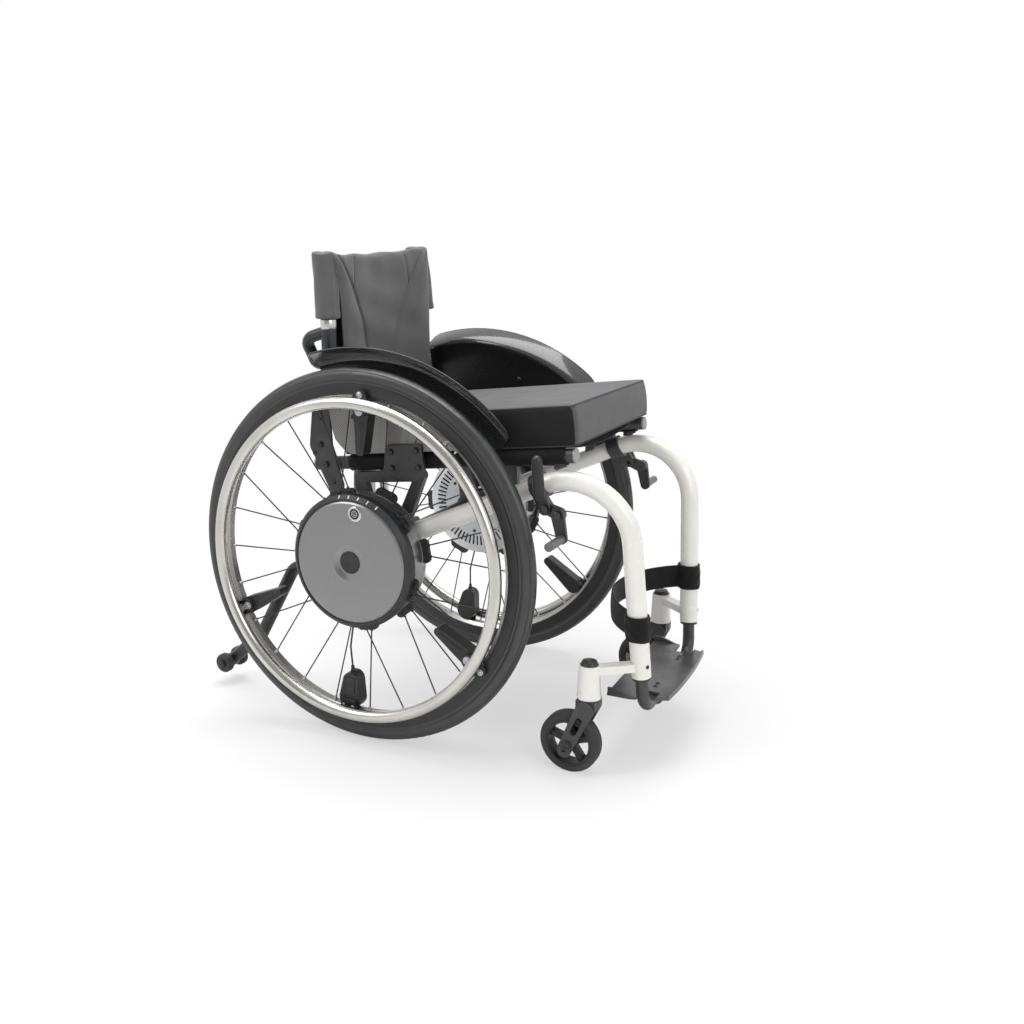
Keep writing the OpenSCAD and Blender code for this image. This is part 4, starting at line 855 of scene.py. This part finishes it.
def wheel_details(side):
    """Small trim of one drive wheel."""
    w = wheel_matrix(side)
    body = f"drive_wheel_{side}"
    nipples, collars = bmesh.new(), bmesh.new()
    for a, b in spoke_lines():
        d = (b - a).normalized()
        lathe(nipples, [(0, 0), (0.0013, 0), (0.0019, 0.0007), (0.002, 0.0048), (0.0027, 0.0055), (0.0027, 0.0082)],
              along(b - d * 0.0104, d), 12)
        lathe(collars, [(0.0012, 0.0064), (0.0024, 0.0066), (0.0024, 0.0079), (0.0013, 0.0086)], along(a, d), 12)
    add(f"spoke_nipples_{side}", nipples, M["steel"], body, matrix=w)
    add(f"spoke_collars_{side}", collars, M["spoke_steel"], body, matrix=w)

    screws = bmesh.new()
    for i in range(6):
        for off in (-4.6, 4.6):
            socket_screw(screws, Matrix.Translation(polar(0.1093, 40 + 60 * i + off, 0.015)), 0.0025, 0.0016)
            socket_screw(screws, Matrix.Translation(polar(0.1090, 70 + 60 * i + off, -0.01825)), 0.0025, 0.0016)
    add(f"lobe_screws_{side}", screws, M["steel_dark"], body, matrix=w)

    back = bmesh.new()
    flip = Matrix.Rotation(math.pi, 4, "X")
    for i in range(6):
        socket_screw(back, Matrix.Translation(polar(0.0565, 30 + 60 * i, -0.037)) @ flip, 0.003, 0.0018)
    add(f"hub_back_screws_{side}", back, M["steel_dark"], body, matrix=w)

    lights = bmesh.new()
    for i in range(5):
        m = Matrix.Rotation(math.radians(62 + 9.5 * i), 4, "Z") @ Matrix.Translation((0.103, 0, 0.030))
        m = m @ Matrix.Rotation(math.radians(45), 4, "Y") @ Matrix.Translation((0, 0, -0.0008))
        soft_box(lights, m, 0.0064, 0.0026, 0.001, 0.0003)
    add(f"level_lights_{side}", lights, M["light_lens"], body, matrix=w)

    at = Matrix.Translation(polar(0.080, 81))
    seal = bmesh.new()
    lathe(seal, [(0.0052, 0.0357), (0.0056, 0.03605), (0.0064, 0.0362), (0.0074, 0.0362), (0.0081, 0.03605),
                 (0.0085, 0.0357)], at, 40)
    lathe(seal, [(0.0044, 0.0358), (0.0044, 0.0294), (0, 0.0294)], at, 32)
    add(f"port_seal_{side}", seal, M["dark_hole"], body, matrix=w)
    pins = bmesh.new()
    lathe(pins, [(0.0026, 0.0294), (0.0026, 0.0349), (0.0029, 0.0352), (0.0034, 0.0352), (0.0036, 0.0349),
                 (0.0036, 0.0294)], at, 32)
    lathe(pins, [(0.0012, 0.0294), (0.0012, 0.0336), (0.0008, 0.0342), (0, 0.0344)], at, 16)
    add(f"port_pins_{side}", pins, M["socket_metal"], body, matrix=w)

    groove = bmesh.new()
    lathe(groove, [(0.0966, 0.0322), (0.0967, 0.0326), (0.0969, 0.0326), (0.0969, 0.0322)], Matrix(), 128)
    add(f"cover_gasket_{side}", groove, M["rubber_trim"], body, matrix=w)

    valve = bmesh.new()
    turn = 52.0
    inward = along(polar(0.2522, turn), -polar(1, turn))
    lathe(valve, [(0, -0.0006), (0.0052, -0.0006), (0.0052, 0.0012), (0.0036, 0.0018), (0.0034, 0.0085),
                  (0.0042, 0.0088), (0.0042, 0.0116), (0.0034, 0.012), (0.0033, 0.0128)], inward, 24)
    for k in range(7):
        lathe(valve, [(0.0036, 0.0022 + k * 0.0009), (0.0039, 0.0026 + k * 0.0009), (0.0036, 0.003 + k * 0.0009)],
              inward, 20)
    add(f"valve_stem_{side}", valve, M["socket_metal"], body, matrix=w)
    cap = bmesh.new()
    lathe(cap, [(0.0034, 0.0128), (0.0041, 0.013), (0.0043, 0.0138), (0.0042, 0.021), (0.0036, 0.0226), (0, 0.0232)],
          inward, 18)
    add(f"valve_cap_{side}", cap, M["light_lens"], body, matrix=w)

    ribs, bolts = bmesh.new(), bmesh.new()
    for i in range(3):
        m = Matrix.Rotation(math.radians(86.5 + 120 * i), 4, "Z")
        rows = []
        for j in range(13):
            t = j / 12
            r = 0.1705 + 0.0475 * t
            half = (0.0028 + 0.0036 * t) * (1 - (1 - min(1, t / 0.1)) ** 2 * 0.75)
            half *= 1 - max(0, (t - 0.92) / 0.08) * 0.5
            high = 0.0022 * math.sin(math.pi * min(1, 0.12 + 0.8 * t)) ** 0.7
            rows.append([m @ Vector((r, half * u, 0.0139 + high * (1 - u * u) ** 0.6))
                         for u in (-1, -0.8, -0.5, -0.2, 0.2, 0.5, 0.8, 1)])
        grid(ribs, rows)
        for r, k in ((0.2345, 1.3), (0.2605, 1)):
            at = m @ Matrix.Translation((r, 0, 0.0202))
            socket_screw(bolts, at @ Matrix.Translation((0, 0, 0.0005)), 0.0034 * k, 0.0021)
            lathe(bolts, [(0.0036 * k, 0), (0.005 * k, 0), (0.005 * k, 0.0005), (0.0036 * k, 0.0007)], at, 24)
    add(f"mount_ribs_{side}", ribs, M["black_plastic"], body, matrix=w)
    add(f"mount_bolts_{side}", bolts, M["steel"], body, matrix=w)

    sensor = bmesh.new()
    m = Matrix.Rotation(math.radians(265.5), 4, "Z")
    soft_box(sensor, m @ Matrix.Translation((0.2105, 0, 0.0132)), 0.0255, 0.0175, 0.0014, 0.0006)
    for k in range(4):
        rib = m @ Matrix.Translation((0.2278 + 0.0036 * k, 0, 0.0139))
        soft_box(sensor, rib, 0.0015, 0.021 + 0.0016 * k, 0.0011, 0.0004)
    start = polar(0.204, 265.5, 0.003)
    d = (polar(0.150, 262, 0.003) - start).normalized()
    lathe(sensor, [(0.0017, 0.0125), (0.0042, 0.0125), (0.0042, 0.0158), (0.0032, 0.0164), (0.0028, 0.022),
                   (0.0017, 0.0236)], along(start, d), 20)
    end, lead = polar(0.1006, 262.5, 0.003), polar(0.150, 262, 0.003)
    d = (lead - end).normalized()
    lathe(sensor, [(0.0017, 0.0), (0.0046, 0.0), (0.0046, 0.003), (0.003, 0.0036), (0.0026, 0.009), (0.0017, 0.01)],
          along(end, d), 20)
    add(f"sensor_trim_{side}", sensor, M["black_plastic"], body, matrix=w)
    sensor = bmesh.new()
    for y in (-0.0085, 0.0085):
        socket_screw(sensor, m @ Matrix.Translation((0.2445, y, 0.0172)), 0.0026, 0.0018)
    add(f"sensor_screws_{side}", sensor, M["steel"], body, matrix=w)


for name in SIDES:
    wheel_details(name)


# Small parts on the frame
def outward(x, z, out, side):
    """A place on a side's outer face: x ahead of the axle, height, distance from the middle; local Z outboard."""
    s = SIDES[side]
    return along(Vector((AXLE.x + x * MM, s * out * MM, z * MM)), (0, s, 0))


def guard_shell(side):
    """Sideguard of one carbon sheet: a flat panel whose top edge sweeps outward over the tyre."""
    s = SIDES[side]
    inner, outer, skin = 0.1782, 0.1806, 0.0024
    first, last, n = 40.5, 108.5, 68
    panel = [(-0.084, 0.230), (-0.0785, 0.206), (-0.076, 0.190), (-0.071, 0.176), (-0.062, 0.166), (-0.052, 0.158),
             (-0.040, 0.154), (-0.030, 0.1549), (0.222, 0.1836)]
    bm = bmesh.new()

    def point(x, z, out):
        return bm.verts.new((AXLE.x + x, s * out, AXLE.z + z))

    front, behind, lip = [], [], []
    for i in range(n + 1):
        deg = first + (last - first) * i / n
        a = math.radians(deg)
        k = min(1.0, 0.25 + 0.75 * math.sqrt(max(0.0, 1 - (1 - min(1, (deg - first) / 10)) ** 2)),
                0.55 + 0.45 * math.sqrt(max(0.0, 1 - (1 - min(1, (last - deg) / 3)) ** 2)))
        rows = ([], [])
        for j in range(12):
            t = k * max(0.0, (j - 1) / 10)
            r = 0.3015 + 2 * t * (1 - t) * 0.0115 + t * t * 0.0245 - (0.0055 if j == 0 else 0)
            out = 2 * t * (1 - t) * 0.0012 + t * t * 0.0345
            dr, do = (1 - 2 * t) * 0.023 + t * 0.049, (1 - 2 * t) * 0.0024 + t * 0.069
            size = math.hypot(dr, do)
            rows[0].append(point(r * math.cos(a), r * math.sin(a), outer + out))
            r += skin * do / size
            rows[1].append(point(r * math.cos(a), r * math.sin(a), outer + out - skin * dr / size))
        front.append(rows[0])
        behind.append(rows[1])
        lip.append((rows[0][-1].co + rows[1][-1].co) / 2)
    for i in range(n):
        for j in range(11):
            bm.faces.new((front[i][j], front[i + 1][j], front[i + 1][j + 1], front[i][j + 1]))
            bm.faces.new((behind[i][j], behind[i][j + 1], behind[i + 1][j + 1], behind[i + 1][j]))
        bm.faces.new((front[i][11], front[i + 1][11], behind[i + 1][11], behind[i][11]))
    for i in (0, n):
        for j in range(11):
            bm.faces.new((front[i][j], front[i][j + 1], behind[i][j + 1], behind[i][j]))
    loops = [[row[0] for row in front] + [point(x, z, outer) for x, z in panel],
             [row[0] for row in behind] + [point(x, z, inner) for x, z in panel]]
    for loop in loops:
        bm.faces.new(loop)
    m = len(loops[0])
    for i in range(n, m):
        l = (i + 1) % m
        bm.faces.new((loops[0][i], loops[0][l], loops[1][l], loops[1][i]))
    shell = add(f"guard_shell_{side}", bm, M["carbon"], "frame")
    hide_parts(f"side_guard_{side}")
    bead = bmesh.new()
    tube(bead, lip, 0.0017, 12)
    add(f"guard_edge_{side}", bead, M["carbon_edge"], "frame")


def frame_details(side):
    """Screws, caps, rings and the sideguard of one side."""
    s = SIDES[side]
    heads = bmesh.new()
    for x, z, out in ((-99, 545, 181.2), (-101, 462, 181.2), (-90.5, 429.98, 181.2), (34, 462, 188.8),
                      (79, 468, 188.8), (36, 437, 188.8), (83, 442, 188.8)):
        socket_screw(heads, outward(x, z, out - 0.02, side), 0.0043, 0.0013)
    for x, z in ((-99, 519), (-113, 447), (-77, 402), (-98, 505)):
        socket_screw(heads, outward(x, z, 178.1, side), 0.0032, 0.002)
    for x, z in ((300, 403), (320, 396)):
        socket_screw(heads, outward(x, z, 205.28, side), 0.0056, 0.0014)
    socket_screw(heads, outward(317.6, 476.5, 172.9, side), 0.0031, 0.0018)
    add(f"bolt_sockets_{side}", heads, M["steel_dark"], "frame")

    holes = bmesh.new()
    q = upright(0.166)
    d = Vector((0.86, -0.5, 0)).normalized()
    d.y *= -s
    socket_screw(holes, along(Vector((q.x, -s * q.y, q.z)) + d * 0.0149, d), 0.0031, 0.0011)
    add(f"upright_screw_{side}", holes, M["steel_dark"], "frame")

    cap = bmesh.new()
    at = Matrix.Translation((AXLE.x + 0.367, s * 0.183, 0.1771))
    lathe(cap, [(0.0112, -0.0004), (0.0113, 0.0004), (0.0104, 0.0009), (0.0092, 0.0007), (0.0088, 0.0003),
                (0.0074, 0.0004), (0.0068, 0.0009), (0.003, 0.0014), (0, 0.0015)], at, 40)
    add(f"barrel_cap_{side}", cap, M["black_plastic"], "frame")
    seal = bmesh.new()
    at = Matrix.Translation((AXLE.x + 0.367, s * 0.183, 0.121))
    lathe(seal, [(0.0178, 0.0012), (0.0186, 0.0016), (0.0188, 0.003), (0.0183, 0.0044), (0.0176, 0.0046)], at, 48)
    add(f"barrel_ring_{side}", seal, M["white_paint"], "frame")

    nut = bmesh.new()
    for k in (-1, 1):
        at = along(Vector((AXLE.x + 0.340, s * 0.183 + k * 0.02323, 0.047)), (0, k, 0))
        socket_screw(nut, at, 0.0056, 0.0022)
        lathe(nut, [(0.0072, -0.0032), (0.0086, -0.0032), (0.0086, -0.0024), (0.0073, -0.0022)], at, 28)
    add(f"caster_axle_screws_{side}", nut, M["steel_dark"], f"caster_{side}")

    hub = bmesh.new()
    for k in (-1, 1):
        at = along(Vector((AXLE.x + 0.340, s * 0.183 + k * 0.012, 0.047)), (0, k, 0))
        lathe(hub, [(0.0322, -0.0012), (0.0326, 0.0004), (0.0344, 0.0007), (0.0364, 0.0004), (0.0366, -0.0012)],
              at, 64)
    add(f"caster_rim_lips_{side}", hub, M["black_plastic"], f"caster_wheel_{side}")

    guard_shell(side)
    studs = bmesh.new()
    for x, z in ((89.4, 539.4), (-36, 512), (172, 500)):
        socket_screw(studs, along(Vector((AXLE.x + x * MM, s * 0.1783, z * MM)), (0, -s, 0)), 0.0042, 0.002)
        socket_screw(studs, along(Vector((AXLE.x + x * MM, s * 0.1805, z * MM)), (0, s, 0)), 0.0042, 0.002)
    add(f"guard_screws_{side}", studs, M["steel_dark"], "frame")

    ring = bmesh.new()
    at = BACK @ Matrix.Translation((0, s * 0.148, 0.1008))
    lathe(ring, [(0.01245, 0), (0.0129, 0.0004), (0.0131, 0.0012), (0.0131, 0.0146), (0.0129, 0.0154),
                 (0.01245, 0.0158)], at, 40)
    add(f"cane_ring_{side}", ring, M["socket_metal"], "backrest")

    grip = bmesh.new()
    low, high = Vector((293, 0, 418)), Vector((289, 0, 474))
    d = (high - low).normalized()
    for k in range(3):
        q = low + d * (2 + 2.2 * k)
        at = along(Vector((AXLE.x + q.x * MM, s * 0.2042, q.z * MM)), d)
        lathe(grip, [(0.0083, 0), (0.0089, 0.0003), (0.0089, 0.0009), (0.0083, 0.0012)], at, 28)
    add(f"grip_cuff_{side}", grip, M["rubber_trim"], f"brake_{side}")


for name in SIDES:
    frame_details(name)

heads = bmesh.new()
for k in (-1, 1):
    socket_screw(heads, along(Vector((AXLE.x - 0.338, -0.1348 + k * 0.0302, 0.039)), (0, k, 0)), 0.0052, 0.0014)
add("anti_tip_screws", heads, M["steel_dark"], "anti_tip")

heads = bmesh.new()
for y in (-0.068, -0.056, 0.056, 0.068):
    socket_screw(heads, Matrix.Translation((AXLE.x + 0.4342, y, 0.1062)), 0.0033, 0.0016)
add("footplate_screws", heads, M["steel_dark"], "foot_rest")

# Floor, lights and background
FADE_FROM, FADE_TO, FLOOR_LIFT = 0.5, 1.4, 0.5
ROOM_SIDE = (0.43, -0.88, 0.19)

floor_mesh = bmesh.new()
bmesh.ops.create_grid(floor_mesh, x_segments=4, y_segments=4, size=12)
fm = bpy.data.meshes.new("floor")
floor_mesh.to_mesh(fm)
floor_mesh.free()
floor = bpy.data.objects.new("floor", fm)
bpy.context.scene.collection.objects.link(floor)
floor.location.z = -0.0002
fp = Paint("floor_pale", (0.93, 0.93, 0.935), 0.6)
fm.materials.append(fp.m)
emit = fp.node("Emission")
emit.inputs["Color"].default_value = (1, 1, 1, 1)
x, y, _ = fp.axes()
dist = fp.math("SQRT", fp.math("ADD", fp.math("POWER", x, 2), fp.math("POWER", y, 2)))
fade = fp.ramp(dist, FADE_FROM, FADE_TO, kind="SMOOTHSTEP")
ray = fp.node("LightPath").outputs
clear = fp.math("MAXIMUM", ray["Is Camera Ray"], fp.math("MAXIMUM", ray["Is Glossy Ray"], ray["Is Transmission Ray"]))
pale = fp.math("MAXIMUM", fp.math("MULTIPLY", fade, clear), fp.math("MULTIPLY", ray["Is Camera Ray"], FLOOR_LIFT))
mix = fp.node("MixShader")
for socket, source in zip(mix.inputs, (pale, fp.b.outputs[0], emit.outputs[0])):
    fp.link(source, socket)
fp.link(mix.outputs[0], fp.t.nodes["Material Output"].inputs["Surface"])
fp.shade(fp.noise(3, 2), 0.995, 1.005)

# White all round; shiny surfaces see a darker room on the camera's side, as in a real studio
world = bpy.data.worlds.new("studio")
bpy.context.scene.world = world
world.use_nodes = True
sky = Nodes(world.node_tree)
background = sky.t.nodes["Background"]
background.inputs["Color"].default_value = (1, 1, 1, 1)
ray = sky.node("LightPath").outputs
room = sky.node("VectorMath", operation="DOT_PRODUCT")
room.inputs[1].default_value = ROOM_SIDE
sky.link(sky.node("TexCoord").outputs["Generated"], room.inputs[0])
dim = sky.ramp(room.outputs["Value"], 0.4, 0.8, 0.9, -0.25, "SMOOTHSTEP")
shine = sky.math("MULTIPLY", ray["Is Glossy Ray"], dim)
seen = sky.math("MAXIMUM", ray["Is Camera Ray"], ray["Is Transmission Ray"])
sky.link(sky.ramp(sky.math("MAXIMUM", seen, shine), 0, 1, 0.4, 1.0), background.inputs["Strength"])


def softbox(name, place, target, size, watts):
    data = bpy.data.lights.new(name, "AREA")
    data.shape = "RECTANGLE"
    data.size, data.size_y = size
    data.energy = watts
    obj = bpy.data.objects.new(name, data)
    bpy.context.scene.collection.objects.link(obj)
    obj.location = place
    obj.rotation_euler = (Vector(place) - Vector(target)).to_track_quat("Z", "Y").to_euler()


softbox("key", (-1.5, -1.5, 2.3), (0, 0, 0.4), (1.3, 1.3), 25)
softbox("top", (-0.1, 0.2, 2.6), (0, 0, 0.3), (2.0, 1.6), 50)
softbox("fill", (2.3, -1.3, 1.5), (0, 0, 0.35), (1.6, 1.6), 22)

bpy.context.scene.view_settings.view_transform = "Standard"
